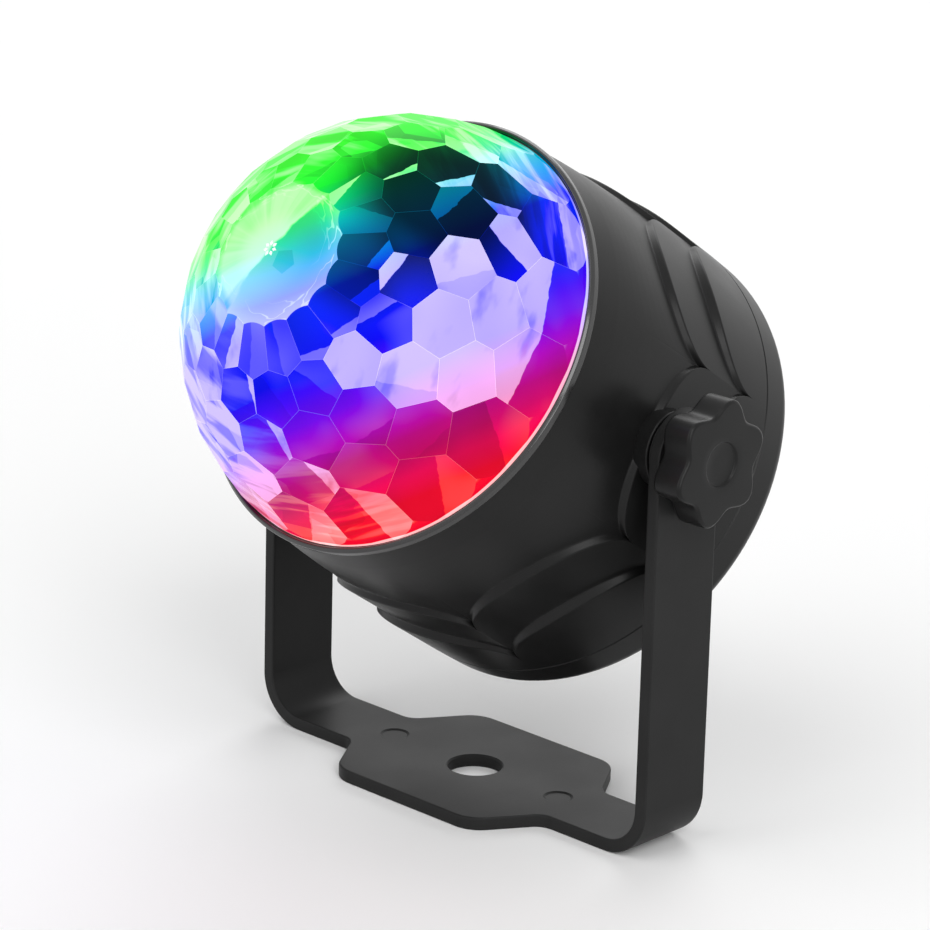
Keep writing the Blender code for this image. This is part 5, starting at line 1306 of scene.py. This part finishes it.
@dataclass
class Housing:
    """The stepped shell of the head, with the smooth collar behind its bezel."""

    front: float = 2.1 * MM
    seam: float = 52.9 * MM
    collar: float = 40.3 * MM
    collar_growth: float = 2.1 * MM
    collar_length: float = 30.0 * MM
    tiers: Span = (43.8 * MM, 44.5 * MM)
    starts: Span = (22.7 * MM, 36.2 * MM)
    arch_height: float = 10.8 * MM
    riser: float = 1.0 * MM
    crease: float = 0.7 * MM
    crease_start: float = 8.0 * MM
    crease_steps: int = 8
    arches: int = 8
    steps_per_arch: int = 36
    edge_reach: float = 0.32 * MM
    edge_steps: int = 3
    bezel_front: float = 28.5 * MM
    inside: Profile = field(default_factory=lambda: in_mm(
        (42.0, -24.4), (42.0, -20.4), (40.0, -20.4), (40.0, 11.0), (32.1, 11.0), (32.1, 13.8), (37.3, 13.8),
        (37.3, 20.0), (38.8, 20.0), (38.8, 26.4)))
    boss_radius: float = 7.0 * MM
    boss_span: Span = (38.0 * MM, 45.0 * MM)
    boss_edge: float = 0.4 * MM
    insert_radius: float = 3.7 * MM
    insert_back: float = 37.2 * MM
    pocket_lip: float = 0.4 * MM
    pocket_lip_top: float = 0.1 * MM

    def _collar_radius(self, distance: float) -> float:
        """Radius of the collar at a distance behind the bezel's front."""
        along = min(distance / self.collar_length, 1.0)
        return self.collar + self.collar_growth * (1.0 - (1.0 - along) ** 2)

    def _rows(self, parameter: float) -> Profile:
        """Outside of one column, as (distance behind the bezel's front, radius).

        Args:
            parameter: From minus to plus a quarter turn. Its sine is the place across one arch.

        Returns:
            The softened rows.
        """
        across = math.sin(parameter)
        arch = self.arch_height * (1.0 - math.cos(parameter))
        crease = self.crease * (1.0 - across**2)
        first, second = (start + arch for start in self.starts)
        rows = [(self.front, self._collar_radius(self.front))]
        for step in range(self.crease_steps + 1):
            share = step / self.crease_steps
            distance = self.crease_start + (first - self.crease_start) * share
            rows.append((distance, self._collar_radius(distance) + share**2 * (self.crease / 2 - crease)))
        rows += [(first + self.riser, self.tiers[0] - crease), (second, self.tiers[0] - crease),
                 (second + self.riser, self.tiers[1]), (self.seam, self.tiers[1])]
        return softened(rows, self.edge_reach, self.edge_steps)

    def build(self) -> None:
        """Build the shell, with the pivot bosses on its sides."""
        rings = []
        pitch = FULL_TURN / self.arches
        for arch in range(self.arches):
            for step in range(self.steps_per_arch):
                parameter = math.pi * (step / self.steps_per_arch - 0.5)
                angle = pitch * arch + pitch / 2 * math.sin(parameter)
                column = [(radius, self.bezel_front - distance) for distance, radius in self._rows(parameter)]
                rings.append([around(radius, angle, height) for radius, height in column + self.inside])
        shell = make_piece("stepped_shell", loft(rings, wrap=True), HEAD, BLACK_SATIN.material())
        self._add_bosses(shell)
        hand_over(shell, "head", "housing_shell")

    def _add_bosses(self, shell: bpy.types.Object) -> None:
        """Join the pivot bosses to the shell, and sink a pocket for the insert in each.

        Args:
            shell: The shell.
        """
        start, end = self.boss_span
        mouth = self.insert_radius + self.pocket_lip
        top = end + self.pocket_lip_top
        corners = [(0.0, start), (self.boss_radius, start), (self.boss_radius, end), (0.0, end)]
        boss_profile = softened(corners, self.boss_edge)
        pocket_profile = [(0.0, self.insert_back), (self.insert_radius, self.insert_back),
                          (self.insert_radius, top - self.pocket_lip), (mouth, top), (mouth, end + OVERRUN),
                          (0.0, end + OVERRUN)]
        for side in Side:
            place = pivot_frame(side)
            combine(shell, [make_piece("boss", lathe(boss_profile, BOSS_STEPS), place, None)], "UNION")
            cut(shell, [make_piece("pocket", lathe(pocket_profile, SMALL_STEPS), place, None)])


@dataclass
class Ring:
    """A turned ring or disc, which stands for one node."""

    name: str
    node: str
    body: str
    profile: Profile
    finish: SkinFinish
    place: Matrix
    reach: float = 0.2 * MM
    steps: int = LARGE_STEPS

    def build(self) -> None:
        """Build the piece."""
        shape = lathe(softened(self.profile, self.reach, closed=True), self.steps)
        piece = make_piece(self.name, shape, self.place, self.finish.material())
        hand_over(piece, self.body, self.node)


@dataclass(frozen=True)
class Opening:
    """A round hole through the rear cap."""

    name: str
    radius: float
    middle: Span


@dataclass
class RearCap:
    """The round rear cap with its vent slots, screw recesses and openings, and its three screws."""

    back: float = -33.4 * MM
    floor: float = -31.2 * MM
    front: float = -24.7 * MM
    body_radius: float = 44.4 * MM
    edge_radius: float = 3.2 * MM
    edge_steps: int = 12
    steps: int = 128
    seam_step: float = 0.1 * MM
    spigot: tuple[float, float, float] = (41.7 * MM, 40.3 * MM, -20.7 * MM)
    screws: int = 3
    screw_circle: float = 36.6 * MM
    recess_radius: float = 2.5 * MM
    recess_depth: float = 1.5 * MM
    recess_lip: float = 0.3 * MM
    screw_hole: float = 1.35 * MM
    vents: int = 7
    vent_pitch: float = 4.5 * MM
    vent_size: Span = (1.8 * MM, 20.0 * MM)
    vent_centre: float = -4.0 * MM
    vent_end_steps: int = 8
    lip: float = 0.25 * MM
    lip_overrun: float = 0.01 * MM
    openings: tuple[Opening, ...] = (
        Opening("grommet_hole", 4.5 * MM, (0.0, -27.0 * MM)),
        Opening("microphone_hole", 1.0 * MM, (10.0 * MM, 20.0 * MM)),
        Opening("receiver_window", 2.0 * MM, (-5.0 * MM, 20.0 * MM)))
    head_height: float = 1.5 * MM
    head_sink: float = 0.3 * MM
    head_outline: Profile = field(default_factory=lambda: in_mm(
        (0.0, 0.1), (1.2, 0.12), (1.9, 0.45), (2.2, 0.9)))
    shank: Span = (1.1 * MM, 16.0 * MM)
    screw_steps: int = 32
    blade_angles: Span = (45.0, 135.0)
    blade_size: tuple[float, float, float] = (2.4 * MM, 0.5 * MM, 1.6 * MM)

    def _body(self) -> bmesh.types.BMesh:
        """Make the turned cap, with a finely rounded back edge.

        Returns:
            The surface.
        """
        outer, inner, top = self.spigot
        corner = self.body_radius - self.edge_radius
        profile = [(0.0, self.floor), (inner, self.floor), (inner, top), (outer, top), (outer, self.front),
                   (self.body_radius - self.seam_step, self.front),
                   (self.body_radius + self.seam_step, self.front - 2 * self.seam_step)]
        profile += [(corner + self.edge_radius * math.cos(angle),
                     self.back + self.edge_radius * (1.0 - math.sin(angle)))
                    for angle in quarter(self.edge_steps)]
        return lathe([*profile, (0.0, self.back)], self.steps)

    def _slot(self) -> bpy.types.Object:
        """Make one vent slot with round ends, as a cutter at the row's first place.

        Returns:
            The cutter.
        """
        width, length = self.vent_size
        start = -(self.vents - 1) / 2 * self.vent_pitch
        outline = []
        for end in (1, -1):
            for step in range(self.vent_end_steps + 1):
                angle = math.pi * step / self.vent_end_steps + (0.0 if end == 1 else math.pi)
                outline.append((start + width / 2 * math.cos(angle),
                                self.vent_centre + end * (length - width) / 2 + width / 2 * math.sin(angle)))
        rings = []
        for height, spread in ((self.back - OVERRUN, self.lip), (self.back + self.lip, 0.0),
                               (self.floor + OVERRUN, 0.0)):
            rings.append([Vector((x + math.copysign(spread, x - start),
                                  y + math.copysign(spread, y - self.vent_centre), height))
                          for x, y in outline])
        return make_piece("vent_slot", loft(rings), Matrix(), None)

    def _hole(self, name: str, radius: float, lip: float, middle: Span, rest: Profile) -> bpy.types.Object:
        """Make the cutter of a round hole that opens at the cap's back.

        Args:
            name: Its name.
            radius: The hole's radius.
            lip: The width of the bevel round its mouth.
            middle: Its (x, y) place.
            rest: The rest of its profile, from the mouth inwards.

        Returns:
            The cutter.
        """
        mouth = [(0.0, self.back - OVERRUN), (radius + lip, self.back - OVERRUN),
                 (radius + lip, self.back - self.lip_overrun), (radius, self.back + lip)]
        profile = [*mouth, *rest, (0.0, self.floor + OVERRUN)]
        return make_piece(name, lathe(profile, SMALL_STEPS), Matrix.Translation((*middle, 0.0)), None)

    def build(self, rows: Repeater, circles: Repeater) -> None:
        """Build the cap.

        Args:
            rows: Cuts copies of a shape in a row.
            circles: Cuts copies of a shape on a circle.
        """
        finish = BLACK_SATIN.material()
        cap = make_piece("vented_rear_cap", self._body(), Matrix(), finish)
        rows.apply(cap, self._slot(), self.vents, self.vent_pitch, 0.0, finish)
        deep, inside = self.back + self.recess_depth, self.floor + OVERRUN
        recess = self._hole("recess", self.recess_radius, self.recess_lip, (self.screw_circle, 0.0), [
            (self.recess_radius, deep), (self.screw_hole, deep), (self.screw_hole, inside)])
        circles.apply(cap, recess, self.screws, 0.0, QUARTER_TURN, finish)
        cut(cap, [self._hole(hole.name, hole.radius, self.lip, hole.middle, [(hole.radius, inside)])
                  for hole in self.openings])
        cap.data.transform(HEAD)
        hand_over(cap, "head", "rear_cap")

    def build_screws(self, circles: Repeater) -> None:
        """Build the three rear screws, each with a cross drive in its head.

        Args:
            circles: Joins copies of a shape on a circle.
        """
        seat = self.back + self.recess_depth - self.head_sink
        top = seat - self.head_height
        radius, length = self.shank
        outline = [(across, top + height) for across, height in self.head_outline]
        profile = [*outline, (outline[-1][0], seat), (radius, seat), (radius, seat + length),
                   (0.0, seat + length)]
        place = Matrix.Translation((self.screw_circle, 0.0, 0.0))
        screw = make_piece("screw", lathe(profile, self.screw_steps), place, None)
        blades = []
        for angle in self.blade_angles:
            blade = bmesh.new()
            bmesh.ops.create_cube(blade, size=1.0, matrix=Matrix.Translation((self.screw_circle, 0.0, top))
                                  @ Matrix.Rotation(math.radians(angle), 4, "Z")
                                  @ Matrix.Diagonal((*self.blade_size, 1.0)))
            blades.append(make_piece("blade", blade, Matrix(), None))
        cut(screw, blades)
        together = place_object("rear_screws", bpy.data.meshes.new("rear_screws"))
        circles.apply(together, screw, self.screws, 0.0, QUARTER_TURN, STEEL.material())
        together.data.transform(HEAD)
        hand_over(together, "head", "rear_cap_screw_1", "rear_cap_screw_2", "rear_cap_screw_3")


# Bracket and knobs


@dataclass
class Bracket:
    """The bent strip with its wide foot, drawn as cross-sections along its length."""

    half_span: float = 48.8 * MM
    thickness: float = 2.5 * MM
    bend: float = 9.6 * MM
    arm_half_depth: float = 8.0 * MM
    axis_height: float = 74.8 * MM
    foot: tuple[tuple[float, float, float], ...] = (
        (17.0 * MM, 19.6 * MM, 6.0 * MM), (24.5 * MM, 8.0 * MM, 4.0 * MM))
    corner_steps: int = 12
    bend_steps: int = 16
    end_steps: int = 24
    end_gap: float = 0.35
    edge: float = 0.45 * MM
    edge_share: float = 0.8
    hole_radius: float = 5.05 * MM
    hole_lip: float = 0.3 * MM
    mark_radius: float = 2.8 * MM
    mark_offset: float = 21.0 * MM
    mark_depth: float = 0.25 * MM
    mark_slope: float = 0.45 * MM
    mark_lip: float = 0.5 * MM
    arm_hole_radius: float = 2.9 * MM
    sharp: float = 25.0

    def _foot_outline(self) -> Profile:
        """Draw half of the foot's edge, from its middle to where the bend starts.

        Returns:
            (x, half depth) along the foot.
        """
        corners = [(0.0, self.foot[0][1], 0.0), *self.foot,
                   (self.half_span - self.bend, self.arm_half_depth, 0.0)]
        points = []
        for index, (x, y, radius) in enumerate(corners):
            corner = Vector((x, y))
            if not radius:
                points.append((x, y))
                continue
            before = (Vector(corners[index - 1][:2]) - corner).normalized()
            after = (Vector(corners[index + 1][:2]) - corner).normalized()
            half = before.angle(after) / 2
            centre = corner + (before + after).normalized() * (radius / math.sin(half))
            start = corner + before * (radius / math.tan(half)) - centre
            sweep = start.angle_signed(corner + after * (radius / math.tan(half)) - centre)
            points += [tuple(centre + Matrix.Rotation(-sweep * step / self.corner_steps, 2) @ start)
                       for step in range(self.corner_steps + 1)]
        return points

    def _stations(self) -> list[tuple[Vector, Vector, float]]:
        """Place the cross-sections, from the foot's middle to the right arm's top.

        Returns:
            Each one's middle, normal and half depth.
        """
        rise = self.thickness / 2
        turn = self.bend - rise
        flat_end = self.half_span - self.bend
        stations = [(Vector((x, 0.0, rise)), Vector((0.0, 0.0, 1.0)), y) for x, y in self._foot_outline()]
        for angle in quarter(self.bend_steps)[1:]:
            inward = Vector((-math.sin(angle), 0.0, math.cos(angle)))
            middle = Vector((flat_end, 0.0, self.bend)) - inward * turn
            stations.append((middle, inward, self.arm_half_depth))
        for step in range(self.end_steps + 1):
            angle = QUARTER_TURN * step / (self.end_steps + self.end_gap)
            height = self.axis_height + self.arm_half_depth * math.sin(angle)
            stations.append((Vector((self.half_span - rise, 0.0, height)), Vector((-1.0, 0.0, 0.0)),
                             self.arm_half_depth * math.cos(angle)))
        return stations

    def _section(self, middle: Vector, normal: Vector, half_depth: float) -> list[Vector]:
        """Points of one cross-section, with rounded edges.

        Args:
            middle: Its middle.
            normal: The strip's direction of thickness.
            half_depth: Half its size along Y.

        Returns:
            The ring of points.
        """
        half = self.thickness / 2
        corners = [(-half_depth, -half), (half_depth, -half), (half_depth, half), (-half_depth, half)]
        depth = Vector((0.0, 1.0, 0.0))
        reach = min(self.edge, half_depth * self.edge_share)
        return [middle + depth * across + normal * up
                for across, up in softened(corners, reach, closed=True)]

    def _hole(self, radius: float, bottom: float, top: float) -> Profile:
        """Draw the profile of a through hole's cutter, with a small lip at both ends.

        Args:
            radius: The hole's radius.
            bottom: The height where the hole starts.
            top: The height where it ends.

        Returns:
            The profile.
        """
        wide = radius + self.hole_lip + OVERRUN
        return [(0.0, bottom - OVERRUN), (wide, bottom - OVERRUN), (radius, bottom + self.hole_lip),
                (radius, top - self.hole_lip), (wide, top + OVERRUN), (0.0, top + OVERRUN)]

    def build(self) -> None:
        """Build the bracket and cut its holes and marks."""
        right = self._stations()
        left = [(Vector((-middle.x, 0.0, middle.z)), Vector((-normal.x, 0.0, normal.z)), depth)
                for middle, normal, depth in reversed(right[1:])]
        shape = loft([self._section(*station) for station in left + right])
        piece = make_piece("bent_strip", shape, FOOT, BLACK_BRACKET.material())
        top = self.thickness
        floor = top - self.mark_depth
        fixing_hole = self._hole(self.hole_radius, 0.0, top)
        arm_hole = self._hole(self.arm_hole_radius, self.half_span - self.thickness, self.half_span)
        mark = [(0.0, floor), (self.mark_radius - self.mark_slope, floor), (self.mark_radius, top),
                (self.mark_radius + self.mark_lip, top + OVERRUN), (0.0, top + OVERRUN)]
        cutters = [make_piece("fixing_hole", lathe(fixing_hole, LARGE_STEPS), FOOT, None)]
        for side in Side:
            place = FOOT @ Matrix.Translation((side.value * self.mark_offset, 0.0, 0.0))
            cutters.append(make_piece("mark", lathe(mark, BOSS_STEPS), place, None))
            cutters.append(make_piece("arm_hole", lathe(arm_hole, BOSS_STEPS), pivot_frame(side), None))
        cut(piece, cutters, self.sharp)
        hand_over(piece, "bracket", "u_bracket")


@dataclass
class Knob:
    """A six-lobed clamp knob with soft edges and a shallow dish."""

    side: Side
    back: float = 50.05 * MM
    thickness: float = 6.1 * MM
    radius: float = 10.3 * MM
    lobe_height: float = 1.15 * MM
    lobes: int = 6
    phase: float = 45.0
    steps: int = 144
    chamfer: float = 0.7 * MM
    chamfer_steps: int = 4
    sharp: float = 35.0
    under: Profile = field(default_factory=lambda: in_mm((2.52, 4.4), (2.52, 0.0), (5.5, 0.0)))
    dish: Profile = field(default_factory=lambda: in_mm(
        (5.6, 0.0), (4.3, 0.0), (4.12, 0.03), (4.0, 0.12), (3.93, 0.3), (3.8, 0.44), (3.55, 0.5), (1.5, 0.5)))

    def _lobed(self, inset: float, height: float) -> list[Vector]:
        """Draw one ring of the lobed outline.

        Args:
            inset: How far it is drawn in.
            height: Its height over the knob's back.

        Returns:
            The ring of points.
        """
        ring = []
        for step in range(self.steps):
            angle = FULL_TURN * step / self.steps
            wave = math.cos(self.lobes * (angle - math.radians(self.phase)))
            ring.append(around(self.radius - inset + self.lobe_height * wave, angle, self.back + height))
        return ring

    def build(self) -> None:
        """Build the knob."""
        top = self.thickness
        curve = [(self.chamfer * (1 - math.sin(angle)), self.chamfer * (1 - math.cos(angle)))
                 for angle in quarter(self.chamfer_steps)]
        rings = [circle(radius, self.back + height, self.steps) for radius, height in self.under]
        rings += [self._lobed(inset, height) for inset, height in curve]
        rings += [self._lobed(inset, top - drop) for drop, inset in curve]
        rings += [circle(radius, self.back + (top - drop), self.steps) for radius, drop in self.dish]
        side = self.side.name.lower()
        place, finish = pivot_frame(self.side), BLACK_SATIN.material()
        piece = make_piece(f"clamp_knob_{side}", loft(rings), place, finish, self.sharp)
        hand_over(piece, f"{side}_knob", f"knob_{side}")


# Stage


@dataclass(frozen=True)
class Lamp:
    """A soft distant lamp. Its spread and its direction are in degrees, and azimuth 0 is the front."""

    name: str
    strength: float
    spread: float
    azimuth: float
    elevation: float


@dataclass
class Stage:
    """The pale floor, the soft lamps, the pale surroundings and the camera."""

    azimuth: float = 43.11
    elevation: float = 17.38
    roll: float = 1.62
    distance: float = 740.0 * MM
    target_height: float = 69.0 * MM
    lens: float = 158.1
    sensor: float = 36.0
    shift: Span = (-0.02115, -0.0444)
    nearest: float = 10.0 * MM
    floor_half_size: float = 8.0
    floor_colour: Colour = (0.95, 0.95, 0.95)
    floor_roughness: float = 0.9
    world_strength: float = 0.5
    seen_strength: float = 0.5
    lamps: tuple[Lamp, ...] = (
        Lamp("key", 0.6, 50.0, -20.0, 58.0), Lamp("side_high", 1.0, 30.0, 62.0, 40.0),
        Lamp("front_low", 0.45, 40.0, -8.0, 14.0), Lamp("side_low", 0.85, 30.0, 66.0, 8.0),
        Lamp("back_left", 0.65, 34.0, 212.0, 40.0))

    def _directions(self) -> tuple[Vector, Vector, Vector]:
        """Work out which way the camera looks.

        Returns:
            Its right, up and back directions.
        """
        angles = (self.azimuth, self.elevation, self.roll)
        azimuth, elevation, roll = (math.radians(angle) for angle in angles)
        back = Vector((math.sin(azimuth) * math.cos(elevation), -math.cos(azimuth) * math.cos(elevation),
                       math.sin(elevation)))
        right = Vector((math.cos(azimuth), math.sin(azimuth), 0.0))
        up = back.cross(right)
        return (right * math.cos(roll) + up * math.sin(roll),
                up * math.cos(roll) - right * math.sin(roll), back)

    def build_camera(self) -> None:
        """Set the camera at the photo's angle."""
        right, up, back = self._directions()
        camera = place_object("camera", bpy.data.cameras.new("camera"))
        target = FOOT.translation + Vector((0.0, 0.0, self.target_height))
        turn = Matrix((right, up, back)).transposed().to_4x4()
        camera.matrix_world = Matrix.Translation(target + back * self.distance) @ turn
        camera.data.lens = self.lens
        camera.data.sensor_width = self.sensor
        camera.data.shift_x, camera.data.shift_y = self.shift
        camera.data.clip_start = self.nearest
        bpy.context.scene.camera = camera

    def build_floor(self) -> None:
        """Lay the floor, which keeps the light's shadow."""
        mesh = bpy.data.meshes.new("floor")
        size = self.floor_half_size
        mesh.from_pydata([(-size, -size, 0.0), (size, -size, 0.0), (size, size, 0.0), (-size, size, 0.0)], [],
                         [(0, 1, 2, 3)])
        material, wiring, shader = new_material("pale_floor")
        wiring.fill(shader, {"Base Color": rgba(self.floor_colour), "Roughness": self.floor_roughness,
                             "Specular IOR Level": 0.0})
        mesh.materials.append(material)
        place_object("floor", mesh)

    def build_lamps(self) -> None:
        """Set the soft lamps: a broad one from the front, two on the right, one low in front, one behind."""
        for lamp in self.lamps:
            sun = bpy.data.lights.new(lamp.name, "SUN")
            sun.energy = lamp.strength
            sun.angle = math.radians(lamp.spread)
            down = Matrix.Rotation(math.radians(90.0 - lamp.elevation), 4, "X")
            holder = place_object(lamp.name, sun)
            holder.matrix_world = Matrix.Rotation(math.radians(lamp.azimuth), 4, "Z") @ down

    def build_surroundings(self) -> None:
        """Set an even pale surrounding, which is brighter where it is seen or mirrored."""
        world = bpy.data.worlds.new("surroundings")
        world.use_nodes = True
        wiring = Wiring(world.node_tree)
        path = wiring.node("ShaderNodeLightPath").outputs
        seen = wiring.math("MAXIMUM", path["Is Camera Ray"], wiring.math(
            "MAXIMUM", path["Is Glossy Ray"], path["Is Transmission Ray"]))
        strength = wiring.math("MULTIPLY_ADD", seen, self.seen_strength, self.world_strength)
        wiring.fill(world.node_tree.nodes["Background"], {
            "Color": rgba((1.0, 1.0, 1.0)), "Strength": strength})
        bpy.context.scene.world = world
        bpy.context.scene.view_settings.view_transform = "Standard"


def dress_inner_nodes() -> None:
    """Give every node that keeps its own shape the finish of its material slot."""
    for entry in frame["record"]["subparts"]:
        piece = bpy.data.objects.get(entry["node"])
        if piece is None or piece.type != "MESH":
            continue
        piece.data.materials.clear()
        piece.data.materials.append(SLOT_FINISHES[entry["material_slot"]].material())


def build_bezel() -> None:
    """Build the glossy ring round the dome."""
    profile = in_mm((40.65, 28.5), (41.15, 28.0), (41.15, 26.7), (38.5, 26.7), (38.5, 21.8), (37.0, 21.8),
                    (37.0, 27.4), (40.13, 27.4), (40.13, 28.2), (40.43, 28.5))
    Ring("bezel", "bezel_ring", "head", profile, BLACK_GLOSS, HEAD, reach=0.18 * MM, steps=180).build()


def build_grommet() -> None:
    """Build the rubber grommet of the supply cord's hole."""
    profile = in_mm((6.0, -29.5), (6.0, -30.9), (4.4, -30.9), (4.4, -33.7), (4.9, -33.7), (4.72, -35.0),
                    (4.35, -35.3), (4.5, -35.9), (4.5, -36.4), (4.2, -36.7), (4.3, -37.3), (4.2, -38.7),
                    (2.7, -38.7), (2.7, -29.5))
    place = HEAD @ Matrix.Translation((0.0, -27.0 * MM, 0.0))
    Ring("grommet", "cord_grommet", "head", profile, BLACK_RUBBER, place, reach=0.25 * MM).build()


def build_clamp(side: Side) -> None:
    """Build a clamp's knob, rubber washer and flat washer.

    Args:
        side: The end of the tilt axis.
    """
    name, place = side.name.lower(), pivot_frame(side)
    Knob(side).build()
    profile = in_mm((6.8, 46.0), (6.8, 45.3), (2.9, 45.3), (2.9, 46.0))
    Ring(f"rubber_washer_{name}", f"pivot_washer_{name}", "bracket", profile, BLACK_RUBBER, place,
         reach=0.15 * MM).build()
    profile = in_mm((6.0, 49.75), (6.0, 49.1), (2.52, 49.1), (2.52, 49.75))
    Ring(f"flat_washer_{name}", f"knob_washer_{name}", f"{name}_washer", profile, STEEL, place,
         reach=0.12 * MM).build()


def main() -> None:
    """Build the light, piece by piece, and the stage around it."""
    logging.basicConfig(level=logging.INFO, format="%(message)s")
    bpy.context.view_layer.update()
    stage = Stage()
    stage.build_camera()
    stage.build_floor()
    stage.build_lamps()
    stage.build_surroundings()
    dress_inner_nodes()
    circles = Repeater(Pattern.CIRCLE)
    dome = Dome()
    dome.build()
    dome.build_star(circles)
    build_bezel()
    Housing().build()
    cap = RearCap()
    cap.build(Repeater(Pattern.ROW, subtract=True), Repeater(Pattern.CIRCLE, subtract=True))
    cap.build_screws(circles)
    build_grommet()
    Bracket().build()
    for side in Side:
        build_clamp(side)


if __name__ == "__main__":
    main()
